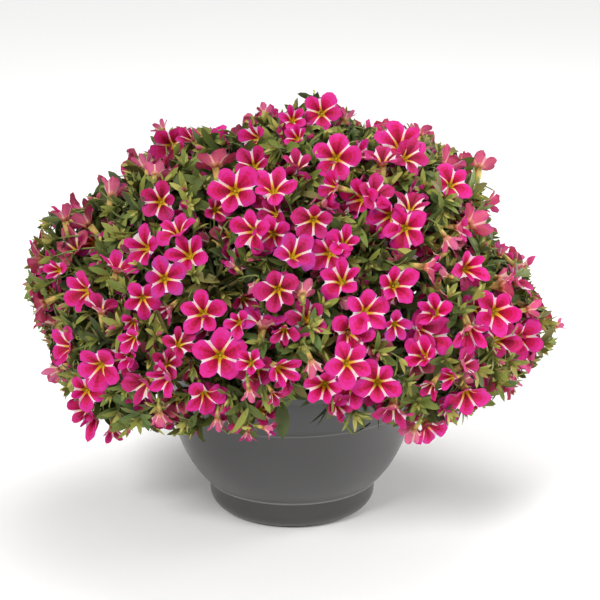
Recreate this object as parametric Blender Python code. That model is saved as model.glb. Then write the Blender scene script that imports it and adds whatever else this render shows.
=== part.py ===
"""A flowering calibrachoa in a round plastic bowl.

The plant stands on the flat underside of its bowl, with the origin at the middle of that underside and +Z up.
A short trunk rises from the potting soil. Boughs fan out from it, and each one carries a mass of foliage:
a dense core that twigs stand out of, with leaves on them and a five-lobed trumpet flower or a tuft of leaves
at the end. The front of the plant faces -Y. Lengths are in metres, and angles in degrees.
"""

import math
import random
from collections import namedtuple

import bmesh
import bpy
from mathutils import Vector

SEED = 11
UP = Vector((0, 0, 1))
CLEARANCE = 0.0003

# The bowl: a rounded foot, a body that is part of an upright ellipse, and a rim band that stands out.
POT_HEIGHT = 0.128
POT_SIDES = 32
WALL = 0.0025
FLOOR = 0.004
FOOT_RADIUS = 0.0672
FOOT_HEIGHT = 0.0215
FOOT_ROUNDING = 0.0145
BODY_CENTRE_RADIUS = 0.030
BODY_CENTRE_HEIGHT = 0.104
BODY_HALF_WIDTH = 0.0695
BODY_HALF_HEIGHT = 0.0968
BODY_LOWEST = 0.0235
BODY_STEPS = 6
BODY_CROWDING = 1.3
FOOT_STEPS = 2
RIM_BAND = 0.009
RIM_STEP = 0.0018
SOIL_TOP = 0.116
SOIL_GAP = 0.0006
SOIL_STEPS = 4

# The crown is worked out from one centre, and each mass owns the directions nearest its own.
# Each mass: the azimuth and elevation of its middle, seen from that centre, and how far it reaches.
CROWN_CENTRE = Vector((0, 0, 0.150))
FOLIAGE = {
    "foliage_top": (0, 85, 0.184),
    "foliage_upper_back_right": (30, 46, 0.196),
    "foliage_upper_back": (90, 46, 0.187),
    "foliage_upper_back_left": (150, 46, 0.191),
    "foliage_upper_front_left": (210, 46, 0.191),
    "foliage_upper_front": (270, 46, 0.188),
    "foliage_upper_front_right": (330, 46, 0.193),
    "foliage_right": (0, 6, 0.217),
    "foliage_back_right": (45, 9, 0.202),
    "foliage_back": (90, 9, 0.198),
    "foliage_back_left": (135, 9, 0.203),
    "foliage_left": (180, 12, 0.221),
    "foliage_front_left": (225, 7, 0.206),
    "foliage_front": (270, 11, 0.196),
    "foliage_front_right": (315, 8, 0.202),
}
BULGE = 0.25
UNDERCUT = 0.35

# How low the crown hangs round the bowl: azimuths, each with the height of its hem at the hem's distance out.
# From there the underside runs in to the rim. The hem is highest near the front, where the bowl shows.
HEM = ((0, 0.116), (90, 0.112), (180, 0.112), (225, 0.106), (240, 0.112), (252, 0.122), (266, 0.126),
       (271, 0.163), (276, 0.158), (285, 0.146), (295, 0.138), (303, 0.120), (330, 0.127), (360, 0.116))
HEM_DISTANCE = 0.190

# The space that a mass keeps to: clear of its neighbours, of the limbs inside and of the bowl.
MASS_GAP = 0.0007
INNER_RADIUS = 0.086
RIM_KEEP_OUT = 0.003
WALL_KEEP_OUT = 0.006

# The trunk, the boughs that carry the masses, and the stem that each mass grows from.
TRUNK_FLARE = 0.003
TRUNK_RADII = ((0, 0.0085), (TRUNK_FLARE, 0.0066), (0.008, 0.0056), (0.050, 0.0045), (0.108, 0.0024))
TRUNK_ROUNDNESS = 2
LIMB_START = 0.075
STEM_RADIUS = 0.0019
STEM_LENGTH = 0.048
STEM_SIDES = 6
BOUGH_RADIUS = 0.0025
BOUGH_STRAIGHT = 0.003
BOUGH_STEPS = 3
BOUGH_ROUNDNESS = 1
LOWER_BOUGH_HEIGHTS = (0.133, 0.142)
UPPER_BOUGH_HEIGHTS = (0.168, 0.177)
UPPER_ELEVATION = 30

# The dense core of a mass.
CORE_MIDDLE = 0.126
CORE_SHARE = 0.87
CORE_SUBDIVISIONS = 2
CORE_STEP = 0.002
CORE_FILL = 0.94

# Twigs, leaves and flowers. They are fewer than on the plant, and each is a little larger than life.
TIP_TRIES = 300
TIP_SPREAD = 0.62
BLOOM_SPACING = 0.041
BLOOM_MARGIN = 0.0215
TUFT_SPACING = 0.034
TUFT_MARGIN = 0.009
TWIG_RADII = (0.0015, 0.0009)
TWIG_SIDES = 3
TUFT_LEAVES = 3
TUFT_LEAF_LEAN = math.radians(35)
TUFT_DEPTH = 0.75
TWIG_LEAVES = 1
TWIG_LEAF_LEAN = math.radians(60)
LEAF_LENGTH = 0.034
LEAF_WIDTH = 0.0125
LEAF_THICKNESS = 0.0018
LEAF_WIDEST = 0.45
LEAF_ROOT = 0.0045
LEAF_DROOP = 0.08
LEAF_SCATTER = 0.15
LOBES = 5
LOBE_HALF_ANGLE = 15
LOBE_RADIUS = 0.0205
NOTCH_RADIUS = 0.0155
THROAT_DEPTH = 0.0055
TUBE_SIDES = 3
TUBE_RADIUS = 0.0034
TUBE_SHOULDER = 0.0085
TUBE_LENGTH = 0.022
FLOWER_INSET = 0.005
FLOWER_LEAN = 0.42
FLOWER_LIFT = 0.1
TWIG_IN_TUBE = 0.6

Mass = namedtuple("Mass", "name axis reach")
Shape = namedtuple("Shape", "points faces")


def direction(azimuth, elevation):
    """The unit vector at this azimuth, counted from +X towards +Y, and this elevation above the horizon."""
    a, e = math.radians(azimuth), math.radians(elevation)
    return Vector((math.cos(a) * math.cos(e), math.sin(a) * math.cos(e), math.sin(e)))


MASSES = [Mass(name, direction(azimuth, elevation), reach)
          for name, (azimuth, elevation, reach) in FOLIAGE.items()]
TOP = MASSES[0]


def clear_scene():
    for obj in list(bpy.data.objects):
        bpy.data.objects.remove(obj)


def material(name, colour, roughness):
    """A plain finish. The colour is linear red, green and blue."""
    finish = bpy.data.materials.new(name)
    finish.use_nodes = True
    shader = finish.node_tree.nodes["Principled BSDF"]
    shader.inputs["Base Color"].default_value = (*colour, 1)
    shader.inputs["Roughness"].default_value = roughness
    shader.inputs["Metallic"].default_value = 0
    return finish


def add_object(name, bm, finish):
    """Turn a bmesh into an object of the scene, with all its faces pointing out."""
    bmesh.ops.recalc_face_normals(bm, faces=bm.faces)
    mesh = bpy.data.meshes.new(name)
    bm.to_mesh(mesh)
    bm.free()
    mesh.materials.append(finish)
    obj = bpy.data.objects.new(name, mesh)
    bpy.context.scene.collection.objects.link(obj)
    return obj


def add_shape(name, shape, finish):
    bm = bmesh.new()
    corners = [bm.verts.new(point) for point in shape.points]
    for face in shape.faces:
        bm.faces.new([corners[i] for i in face])
    return add_object(name, bm, finish)


def across(axis):
    """Two unit vectors at right angles to an axis and to each other."""
    side = axis.cross(UP) if abs(axis.z) < 0.9 else axis.cross(Vector((1, 0, 0)))
    side.normalize()
    return side, axis.cross(side)


# The bowl and its soil

def turned(name, profile, finish):
    """Turn radius and height points round the Z axis. The first and the last point lie on the axis."""
    bm = bmesh.new()
    points = [bm.verts.new((radius, 0, height)) for radius, height in profile]
    edges = [bm.edges.new(pair) for pair in zip(points, points[1:])]
    bmesh.ops.spin(bm, geom=points + edges, cent=(0, 0, 0), axis=UP, angle=2 * math.pi,
                   steps=POT_SIDES, use_merge=True)
    bmesh.ops.remove_doubles(bm, verts=bm.verts, dist=1e-6)
    obj = add_object(name, bm, finish)
    obj.data.shade_smooth()
    obj.data.set_sharp_from_angle(angle=math.radians(30))
    return obj


def body_radius(height, inset):
    """The radius of the bowl's body at a height, for a skin that lies this far inside the outer one."""
    rise = (height - BODY_CENTRE_HEIGHT) / (BODY_HALF_HEIGHT - inset)
    return BODY_CENTRE_RADIUS + (BODY_HALF_WIDTH - inset) * math.sqrt(1 - rise * rise)


def body_profile(inset, top, steps):
    """The body from its lowest lip up to a height, with its points closer together where it curves in."""
    profile = []
    for step in range(steps + 1):
        share = (step / steps) ** BODY_CROWDING
        height = BODY_LOWEST + (top - BODY_LOWEST) * share
        profile.append((body_radius(height, inset), height))
    return profile


def rounded_foot(radius, bottom, rounding, steps):
    """The foot's bottom edge, a quarter circle from the underside up to the foot's wall."""
    profile = []
    for step in range(steps + 1):
        angle = math.pi / 2 * step / steps
        profile.append((radius - rounding * (1 - math.sin(angle)), bottom + rounding * (1 - math.cos(angle))))
    return profile


def make_pot(finish):
    band_bottom = POT_HEIGHT - RIM_BAND
    band_radius = body_radius(band_bottom, 0) + RIM_STEP
    outside = [(0, 0)]
    outside += rounded_foot(FOOT_RADIUS, 0, FOOT_ROUNDING, FOOT_STEPS + 1)
    outside.append((FOOT_RADIUS, FOOT_HEIGHT))
    outside += body_profile(0, band_bottom, BODY_STEPS + 1)
    outside.append((band_radius, band_bottom))
    outside.append((band_radius, POT_HEIGHT))
    inside = [(0, FLOOR)]
    inside += rounded_foot(FOOT_RADIUS - WALL, FLOOR, FOOT_ROUNDING - WALL, FOOT_STEPS)
    inside += body_profile(WALL, POT_HEIGHT, BODY_STEPS)
    return turned("pot", outside + inside[::-1], finish)


def make_soil(finish):
    inset = WALL + SOIL_GAP
    profile = [(0, FLOOR + CLEARANCE)]
    profile += rounded_foot(FOOT_RADIUS - inset, FLOOR + CLEARANCE, FOOT_ROUNDING - WALL, FOOT_STEPS)
    profile += body_profile(inset, SOIL_TOP, SOIL_STEPS)
    profile.append((0, SOIL_TOP))
    return turned("soil", profile, finish)


# The limbs

def limb(name, points, radii, roundness, finish):
    """One tapering limb: a bevelled curve through its points, with closed ends."""
    curve = bpy.data.curves.new(name, "CURVE")
    curve.dimensions = "3D"
    curve.bevel_depth = 1
    curve.bevel_resolution = roundness
    curve.use_fill_caps = True
    spline = curve.splines.new("POLY")
    spline.points.add(len(points) - 1)
    for target, point, radius in zip(spline.points, points, radii):
        target.co = (*point, 1)
        target.radius = radius
    curve.materials.append(finish)
    obj = bpy.data.objects.new(name, curve)
    bpy.context.scene.collection.objects.link(obj)
    return obj


def trunk_point(height):
    """Where the trunk's axis is at a height: upright in its flare, then leaning towards the topmost mass."""
    lean_start = Vector((0, 0, SOIL_TOP + TRUNK_FLARE))
    if height <= lean_start.z:
        return Vector((0, 0, height))
    tip = CROWN_CENTRE + TOP.axis * LIMB_START
    return lean_start.lerp(tip, (height - lean_start.z) / (tip.z - lean_start.z))


def make_trunk(finish):
    tip = CROWN_CENTRE + TOP.axis * LIMB_START
    heights = [SOIL_TOP + CLEARANCE + above for above, _ in TRUNK_RADII[:-1]] + [tip.z]
    radii = [radius for _, radius in TRUNK_RADII]
    return limb("trunk", [trunk_point(height) for height in heights], radii, TRUNK_ROUNDNESS, finish)


def make_bough(mass, heights, index, finish):
    """A bough that leaves the trunk level, clear of it, and bends to end square to the stem of its mass."""
    out = Vector((mass.axis.x, mass.axis.y, 0)).normalized()
    height = heights[index % len(heights)]
    seat = trunk_point(height) + out * (between(TRUNK_RADII, height - BOUGH_RADIUS - SOIL_TOP) + CLEARANCE)
    start = seat + out * BOUGH_STRAIGHT
    end = CROWN_CENTRE + mass.axis * (LIMB_START - BOUGH_STRAIGHT)
    pull = (end - start).length / 3
    handles = (start, start + out * pull, end - mass.axis * pull, end)
    points = [seat]
    radii = [BOUGH_RADIUS]
    for step in range(BOUGH_STEPS + 1):
        t = step / BOUGH_STEPS
        weights = ((1 - t) ** 3, 3 * t * (1 - t) ** 2, 3 * t * t * (1 - t), t ** 3)
        points.append(sum((handle * weight for handle, weight in zip(handles, weights)), Vector()))
        radii.append(BOUGH_RADIUS + (STEM_RADIUS - BOUGH_RADIUS) * t)
    points.append(end + mass.axis * BOUGH_STRAIGHT)
    radii.append(STEM_RADIUS)
    return limb(mass.name.replace("foliage", "bough"), points, radii, BOUGH_ROUNDNESS, finish)


# The space of a mass

def nearest_mass(way):
    return max(MASSES, key=lambda mass: way.dot(mass.axis))


def envelope(way):
    """How far the crown reaches from its centre in a direction. Each mass bulges round its own middle, and
    the crown draws in below the level of its centre."""
    mass = nearest_mass(way)
    off_axis = mass.axis.angle(way)
    return mass.reach * (1 - BULGE * off_axis * off_axis) * (1 - UNDERCUT * max(0, -way.z))


def between(table, at):
    """Read a value between the points of a table of ascending pairs."""
    for (start, low), (stop, high) in zip(table, table[1:]):
        if at <= stop:
            return low + (high - low) * (at - start) / (stop - start)
    return table[-1][1]


def above_hem(point):
    """True above the underside of the crown, which runs from over the rim out to the hem."""
    azimuth = math.degrees(math.atan2(point.y, point.x)) % 360
    rim = POT_HEIGHT + RIM_KEEP_OUT
    rim_radius = BODY_CENTRE_RADIUS + BODY_HALF_WIDTH
    share = max(0, math.hypot(point.x, point.y) - rim_radius) / (HEM_DISTANCE - rim_radius)
    return point.z >= rim + (between(HEM, azimuth) - rim) * share


def in_own_space(point, mass, gap=MASS_GAP):
    """True where a point is nearer its own mass than any other, outside the limbs and clear of the bowl."""
    offset = point - CROWN_CENTRE
    for other in MASSES:
        apart = mass.axis - other.axis
        if other is not mass and offset.dot(apart) < gap * apart.length:
            return False
    bowl_radius = BODY_CENTRE_RADIUS + BODY_HALF_WIDTH + RIM_STEP
    beside_bowl = math.hypot(point.x, point.y) > bowl_radius + WALL_KEEP_OUT
    above_bowl = point.z > POT_HEIGHT + RIM_KEEP_OUT
    return offset.length > INNER_RADIUS and (beside_bowl or above_bowl)


def fits(shape, mass):
    return all(in_own_space(point, mass) for point in shape.points)


# The pieces of a mass

def taper(start, end, radii, sides):
    """A straight tapering rod with closed ends."""
    side, rise = across((end - start).normalized())
    points = []
    for centre, radius in zip((start, end), radii):
        for i in range(sides):
            angle = 2 * math.pi * i / sides
            points.append(centre + (side * math.cos(angle) + rise * math.sin(angle)) * radius)
    faces = [list(range(sides)), list(range(sides, 2 * sides))]
    for i in range(sides):
        after = (i + 1) % sides
        faces.append([i, after, sides + after, sides + i])
    return Shape(points, faces)


def leaf(root, way, facing):
    """A closed leaf of eight faces: a root, a drooping tip, two edges, and a rib above and below."""
    side = way.cross(facing).normalized()
    face = side.cross(way).normalized()
    middle = root + way * LEAF_LENGTH * LEAF_WIDEST
    tip = root + way * LEAF_LENGTH - face * LEAF_LENGTH * LEAF_DROOP
    ring = [middle + side * LEAF_WIDTH / 2, middle + face * LEAF_THICKNESS / 2,
            middle - side * LEAF_WIDTH / 2, middle - face * LEAF_THICKNESS / 2]
    faces = []
    for i in range(len(ring)):
        after = (i + 1) % len(ring)
        faces.append([0, 2 + i, 2 + after])
        faces.append([1, 2 + after, 2 + i])
    return Shape([root, tip] + ring, faces)


def flower(place, axis, turn):
    """A closed trumpet: a recessed throat, lobes with a notch after each, and a tube that ends in a point."""
    side, rise = across(axis)

    def polar(radius, angle, depth):
        a = math.radians(angle) + turn
        return place + (side * math.cos(a) + rise * math.sin(a)) * radius - axis * depth

    rim = []
    for lobe in range(LOBES):
        middle = 360 / LOBES * lobe
        rim.append(polar(LOBE_RADIUS, middle - LOBE_HALF_ANGLE, 0))
        rim.append(polar(LOBE_RADIUS, middle + LOBE_HALF_ANGLE, 0))
        rim.append(polar(NOTCH_RADIUS, middle + 180 / LOBES, 0))
    share = 360 / TUBE_SIDES
    tube = [polar(TUBE_RADIUS, share * (i + 0.4), TUBE_SHOULDER) for i in range(TUBE_SIDES)]
    throat = len(rim) + TUBE_SIDES
    base = throat + 1
    faces = []
    for i in range(len(rim)):
        after = (i + 1) % len(rim)
        faces.append([throat, i, after])
        faces.append([len(rim) + i // LOBES, after, i])
    for i in range(TUBE_SIDES):
        corner, following = len(rim) + i, len(rim) + (i + 1) % TUBE_SIDES
        faces.append([(i + 1) * LOBES % len(rim), corner, following])
        faces.append([base, following, corner])
    return Shape(rim + tube + [polar(0, 0, THROAT_DEPTH), polar(0, 0, TUBE_LENGTH)], faces)


def random_way(rng):
    """A random direction, even over the sphere."""
    return direction(rng.uniform(0, 360), math.degrees(math.asin(rng.uniform(-1, 1))))


def centre_distance(point):
    return (point - CROWN_CENTRE).length


def leaves_round(place, axis, count, lean, rng, mass):
    """Leaves in a ring round an axis, each leaning out from it. One that would leave the space is dropped."""
    side, rise = across(axis)
    start = rng.uniform(0, 2 * math.pi)
    ring = []
    for i in range(count):
        angle = start + 2 * math.pi * i / count
        out = side * math.cos(angle) + rise * math.sin(angle)
        way = (axis * math.cos(lean) + out * math.sin(lean) + random_way(rng) * LEAF_SCATTER).normalized()
        blade = leaf(place - way * LEAF_ROOT, way, axis - out)
        if fits(blade, mass):
            ring.append(blade)
    return ring


def tip_ways(mass, taken, spacing, margin, rng):
    """Directions for twig ends, thrown at random and kept where they lie well apart in the mass's space."""
    kept = []
    for _ in range(TIP_TRIES):
        way = (mass.axis + random_way(rng) * TIP_SPREAD).normalized()
        place = CROWN_CENTRE + way * (envelope(way) - FLOWER_INSET)
        apart = all(way.angle(other) * mass.reach > spacing for other in taken + kept)
        if apart and above_hem(place) and in_own_space(place, mass, margin):
            kept.append(way)
    return kept


def bloom_spray(mass, way, rng):
    """A twig from the middle of its mass out to the envelope, with a flower at its end and leaves below."""
    heart = CROWN_CENTRE + mass.axis * CORE_MIDDLE
    end = CROWN_CENTRE + way * (envelope(way) - FLOWER_INSET)
    facing = (way + random_way(rng) * FLOWER_LEAN + UP * FLOWER_LIFT).normalized()
    bloom = flower(end, facing, rng.uniform(0, 2 * math.pi))
    if not fits(bloom, mass):
        facing = way
        bloom = flower(end, facing, rng.uniform(0, 2 * math.pi))
    if not fits(bloom, mass):
        return []
    neck = end - facing * TUBE_LENGTH * TWIG_IN_TUBE
    inside_core = (CORE_SHARE * centre_distance(end) - CORE_MIDDLE) / (centre_distance(neck) - CORE_MIDDLE)
    node = heart.lerp(neck, inside_core)
    leaves = leaves_round(node, (neck - heart).normalized(), TWIG_LEAVES, TWIG_LEAF_LEAN, rng, mass)
    return [taper(heart, neck, TWIG_RADII, TWIG_SIDES), bloom] + leaves


def tuft_spray(mass, way, rng):
    """A twig from the middle of its mass with a tuft of leaves at its end, for where no flower has room."""
    heart = CROWN_CENTRE + mass.axis * CORE_MIDDLE
    neck = CROWN_CENTRE + way * (envelope(way) - LEAF_LENGTH * TUFT_DEPTH)
    tuft = leaves_round(neck, (neck - heart).normalized(), TUFT_LEAVES, TUFT_LEAF_LEAN, rng, mass)
    return [taper(heart, neck, TWIG_RADII, TWIG_SIDES)] + tuft if tuft else []


def core_limit(point):
    return CORE_SHARE * envelope((point - CROWN_CENTRE).normalized())


def make_core(mass, finish):
    """The dense middle of a mass: a ball drawn out to fill its space, up to the core's share of the reach."""
    heart = CROWN_CENTRE + mass.axis * CORE_MIDDLE
    bm = bmesh.new()
    bmesh.ops.create_icosphere(bm, subdivisions=CORE_SUBDIVISIONS, radius=1)
    for vert in bm.verts:
        way = vert.co.normalized()
        reach = 0
        point = heart
        while in_own_space(point, mass) and above_hem(point) and centre_distance(point) < core_limit(point):
            reach += CORE_STEP
            point = heart + way * reach
        vert.co = heart + way * reach * CORE_FILL
    return add_object(mass.name, bm, finish)


def keep_main_body(obj):
    """Drop loose scraps and the skins of sealed hollows: only the body with the most corners stays."""
    bm = bmesh.new()
    bm.from_mesh(obj.data)
    waiting = set(bm.verts)
    bodies = []
    while waiting:
        body = {waiting.pop()}
        frontier = list(body)
        while frontier:
            vert = frontier.pop()
            for edge in vert.link_edges:
                other = edge.other_vert(vert)
                if other not in body:
                    body.add(other)
                    frontier.append(other)
        waiting -= body
        bodies.append(body)
    main = max(bodies, key=len)
    bmesh.ops.delete(bm, geom=[vert for vert in bm.verts if vert not in main], context="VERTS")
    bm.to_mesh(obj.data)
    bm.free()


def join(core, shapes, finish):
    """Fuse the shapes to the core with one union."""
    group = bpy.data.collections.new(core.name + "_pieces")
    pieces = []
    for shape in shapes:
        piece = add_shape(core.name + "_piece", shape, finish)
        bpy.context.scene.collection.objects.unlink(piece)
        group.objects.link(piece)
        pieces.append(piece)
    union = core.modifiers.new("union", "BOOLEAN")
    union.operation = "UNION"
    union.operand_type = "COLLECTION"
    union.collection = group
    bpy.context.view_layer.objects.active = core
    bpy.ops.object.modifier_apply(modifier=union.name)
    for piece in pieces:
        bpy.data.objects.remove(piece)
    bpy.data.collections.remove(group)
    keep_main_body(core)


def make_mass(mass, rng, finish):
    core = make_core(mass, finish)
    start = CROWN_CENTRE + mass.axis * (LIMB_START + CLEARANCE)
    shapes = [taper(start, start + mass.axis * STEM_LENGTH, (STEM_RADIUS, STEM_RADIUS), STEM_SIDES)]
    blooms = tip_ways(mass, [], BLOOM_SPACING, BLOOM_MARGIN, rng)
    tufts = tip_ways(mass, blooms, TUFT_SPACING, TUFT_MARGIN, rng)
    for way in blooms:
        shapes += bloom_spray(mass, way, rng)
    for way in tufts:
        shapes += tuft_spray(mass, way, rng)
    join(core, shapes, finish)


def main():
    clear_scene()
    plastic = material("anthracite plastic", (0.096, 0.098, 0.102), 0.45)
    earth = material("potting soil", (0.030, 0.020, 0.014), 0.95)
    bark = material("green-brown stem", (0.13, 0.12, 0.05), 0.75)
    blossom = material("leaves and blossom", (0.42, 0.04, 0.16), 0.60)
    make_pot(plastic)
    make_soil(earth)
    make_trunk(bark)
    rng = random.Random(SEED)
    for index, mass in enumerate(MASSES):
        if index > 0:
            upper = FOLIAGE[mass.name][1] > UPPER_ELEVATION
            make_bough(mass, UPPER_BOUGH_HEIGHTS if upper else LOWER_BOUGH_HEIGHTS, index, bark)
        make_mass(mass, rng, blossom)


main()
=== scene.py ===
"""The looks of a calibrachoa in flower, in a round anthracite plastic bowl.

The bowl, the soil and the woody limbs are modelled over their solids. Each mass of foliage is grown again by
the rule of its solid, carried to finer twigs: a stem, branches, leafy shoots, and blooms on their own stalks.
Lengths are in metres. Angles are in degrees, and the leans of leaves in radians. The plant's front faces -Y.
"""

import math

import bpy
import numpy as np
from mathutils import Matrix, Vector, noise


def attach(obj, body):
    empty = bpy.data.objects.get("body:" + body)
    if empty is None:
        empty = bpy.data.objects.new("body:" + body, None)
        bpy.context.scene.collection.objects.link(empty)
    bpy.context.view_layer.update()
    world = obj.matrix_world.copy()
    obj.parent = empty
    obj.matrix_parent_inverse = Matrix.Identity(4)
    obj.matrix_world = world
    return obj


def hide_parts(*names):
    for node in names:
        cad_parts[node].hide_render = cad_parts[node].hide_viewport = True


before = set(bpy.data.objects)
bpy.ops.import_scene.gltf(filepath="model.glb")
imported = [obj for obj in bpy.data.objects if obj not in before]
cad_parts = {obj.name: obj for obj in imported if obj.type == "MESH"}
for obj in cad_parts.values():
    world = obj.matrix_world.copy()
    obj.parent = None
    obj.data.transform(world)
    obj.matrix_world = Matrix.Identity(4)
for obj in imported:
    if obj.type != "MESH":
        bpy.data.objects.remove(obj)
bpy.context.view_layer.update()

SEED = 5
UP = np.array((0.0, 0.0, 1.0))
NEARLY_UPRIGHT = 0.9
CLEARANCE = 0.0003
SAME_HEIGHT = 1e-5

# The photograph: its frame, and where the camera stood.
IMAGE_SIZE = 600
SENSOR = 36
LENS = 120
FOCAL = LENS / SENSOR * IMAGE_SIZE
CAMERA_TARGET = np.array((0.0064, 0.0, 0.172))
CAMERA_DISTANCE = 1.60
CAMERA_ELEVATION = 17

# The bowl, as its solid has it, and the finer forms of the mould.
POT_HEIGHT = 0.128
WALL = 0.0025
FLOOR = 0.004
FOOT_RADIUS = 0.0672
FOOT_HEIGHT = 0.0215
FOOT_ROUNDING = 0.0145
BODY_CENTRE_RADIUS = 0.030
BODY_CENTRE_HEIGHT = 0.104
BODY_HALF_WIDTH = 0.0695
BODY_HALF_HEIGHT = 0.0968
BODY_LOWEST = 0.0235
BOWL_RADIUS = BODY_CENTRE_RADIUS + BODY_HALF_WIDTH
RIM_BAND = 0.009
RIM_STEP = 0.0018
LEDGE_HEIGHT = 0.0925
LEDGE_DEPTH = 0.0002
LEDGE_STEPS = (-0.0006, -0.0002, 0.0002, 0.0006)
LEDGE_SHARES = (0, 1, 1, 0)
LEDGE_MARGIN = 0.001
# How far up from the lip's lowest point the painted highlight reaches.
LIP_HIGHLIGHT = 0.0022
LIP_ROUNDING = 0.0011
LIP_ARC_END = -15
EDGE_ROUNDING = 0.0009
NECK_OUT = 0.0004
NECK_GAP = 0.0002
UNDERSIDE_RECESS = 0.0012
UNDERSIDE_RING = 0.050
UNDERSIDE_SLOPE = 0.002
POLE_RADIUS = 0.0015
TURNED_SIDES = 128
BODY_RINGS = 26
BODY_CROWDING = 1.25
FOOT_STEPS = 10
EDGE_STEPS = 4
RIM_STEPS = 6
INNER_FOOT_STEPS = 8
BOWL_SMOOTH = 40

SOIL_TOP = 0.116
SOIL_GAP = 0.0006
SOIL_RINGS = 46
SOIL_WALL_STEPS = 12
SOIL_FOOT_STEPS = 6
SOIL_EDGE_DROP = 0.001
SOIL_RELIEF = 0.0022
SOIL_CRUMB = 0.006
CRUMB_NOISE = (1.0, 2.0, 4)
SOIL_SMOOTH = 60

# The crown, as its solids have it. Each mass has the azimuth and elevation of its middle, and its reach. HEM
# gives the height of the edge of the crown's underside at each azimuth.
CROWN_CENTRE = np.array((0.0, 0.0, 0.150))
FOLIAGE = {
    "foliage_top": (0, 85, 0.184),
    "foliage_upper_back_right": (30, 46, 0.196),
    "foliage_upper_back": (90, 46, 0.187),
    "foliage_upper_back_left": (150, 46, 0.191),
    "foliage_upper_front_left": (210, 46, 0.191),
    "foliage_upper_front": (270, 46, 0.188),
    "foliage_upper_front_right": (330, 46, 0.193),
    "foliage_right": (0, 6, 0.217),
    "foliage_back_right": (45, 9, 0.202),
    "foliage_back": (90, 9, 0.198),
    "foliage_back_left": (135, 9, 0.203),
    "foliage_left": (180, 12, 0.221),
    "foliage_front_left": (225, 7, 0.206),
    "foliage_front": (270, 11, 0.196),
    "foliage_front_right": (315, 8, 0.202),
}
BULGE = 0.25
UNDERCUT = 0.35
HEM = ((0, 0.116), (90, 0.112), (180, 0.112), (225, 0.106), (240, 0.112), (252, 0.122), (266, 0.126),
       (271, 0.163), (276, 0.158), (285, 0.146), (295, 0.138), (303, 0.120), (330, 0.127), (360, 0.116))
HEM_DISTANCE = 0.190
RIM_KEEP_OUT = 0.003
WALL_KEEP_OUT = 0.004

# The woody limbs, as their solids have them.
TRUNK_FLARE = 0.003
TRUNK_RADII = ((0, 0.0085), (TRUNK_FLARE, 0.0066), (0.008, 0.0056), (0.050, 0.0045), (0.108, 0.0024))
TRUNK_STEPS = 40
LIMB_START = 0.075
STEM_RADIUS = 0.0019
BOUGH_RADIUS = 0.0025
BOUGH_STEPS = 24
LOWER_BOUGH_HEIGHTS = (0.133, 0.142)
UPPER_BOUGH_HEIGHTS = (0.168, 0.177)
UPPER_ELEVATION = 30
BOUGH_ROOT = 0.8
BOUGH_COLLAR = 1.25
LIMB_SINK = 0.001
LIMB_BEVEL = 4
BARK_RELIEF = 0.0007
BARK_GRAIN = 0.0035

# How each mass branches. A TIP is so far from the crown's centre, a SPACING is at its surface, TRIES is
# how many directions are thrown, and HEM is how far below the crown's underside an end may come.
THROWN_FROM = -0.35
STEM_TIP = 0.112
STEM_SINK = 0.002
STEM_SIDES = 6
BRANCH_TIP = 0.152
BRANCH_SPACING = 0.070
BRANCH_TRIES = 900
BRANCH_HEM = 0.03
BRANCH_RADII = (0.0016, 0.0011)
BRANCH_SINK = 0.004
BRANCH_PULL = 0.014
BRANCH_POINTS = 6
BRANCH_SIDES = 5
BRANCH_LEAVES = 10
BRANCH_LEAF_LEAN = 1.2
BRANCH_LEAF_LENGTHS = (0.018, 0.026)

# A shoot: old leaves along it, smaller and less leaning towards its end, and a tuft of young ones at its tip.
# SHOOT_STARTS are the points of its branch that it may start from, the last one not counted.
SHOOT_SPACING = 0.0152
SHOOT_TRIES = 12000
SHOOT_HEM = 0.008
SHOOT_STARTS = (3, 6)
SHOOT_RADII = (0.0011, 0.0006)
SHOOT_ARCH = 0.014
SHOOT_WANDER = 0.004
SHOOT_POINTS = 7
SHOOT_SIDES = 4
SHOOT_LEAVES = 13
FIRST_LEAF = 0.2
LEAFY_SHARE = 0.72
SHADED_SHARE = 0.35
OLD_LENGTHS = (0.016, 0.026)
OLD_SHRINK = 0.25
SHRINK_FROM = 0.7
SHRINK_SPAN = 0.3
OLD_LEAN = 1.25
OLD_LEAN_LOSS = 0.35
TIP_LEAVES = 9
TIP_SPAN = 0.005
RAISED_SIZES = (0.85, 1.25)
SUNK_SIZE = 0.8
YOUNG_LENGTH = 0.0180
YOUNG_LENGTH_LOSS = 0.0105
YOUNG_LEAN = 1.0
YOUNG_LEAN_LOSS = 0.75
YOUNGEST_TONE = 2
PALE_STEPS = 3
PALE_STEP = 0.5
SUNK_TIP = (0.018, 0.030)
RAISED_TIP = (0.005, 0.014)
FILLER_LEAVES = 3000
FILLER_DEPTH = (0.022, 0.075)
FILLER_ABOVE_HEM = 0.008
FILLER_FACE_SPREAD = 0.3
FILLER_LENGTHS = (0.022, 0.030)
FILLER_ASPECT = 0.42
FILLER_DROOP = 0.15

# Where blooms stand, and how far in. The inner ones are those that leaves half hide.
BLOOM_SPACING = 0.029
BLOOM_TRIES = 5000
BLOOM_HEM = 0.004
BLOOM_CLEARING = 0.0135
BLOOM_INSETS = (0.003, 0.009, 0.015, 0.021)
BLOOM_STEP = 0.005
BLOOM_OVERLAP = 0.8
DEEP_OVERLAP = 0.9
DEEP_STEP = 0.011
BLOOM_RADII = (0.010, 0.0175)
MOST_TOWARDS_CAMERA = 0.05
SEEN_FACING_SPREAD = 0.15
FACING_SPREAD = 0.45
INNER_SPACING = 0.023
INNER_TRIES = 3000
INNER_RADII = (0.010, 0.016)
INNER_DEPTH = (0.012, 0.026)
INNER_FACING_SPREAD = 0.5
HALF_OPEN_RADIUS = 0.0125
HALF_OPEN_SHARE = 0.16
STALK_START = 2
STALK_RADII = (0.0006, 0.0007)
STALK_PULL = 0.012
STALK_SINK = 0.001
STALK_POINTS = 6
STALK_SIDES = 4
MOST_REACH = 0.009
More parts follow.
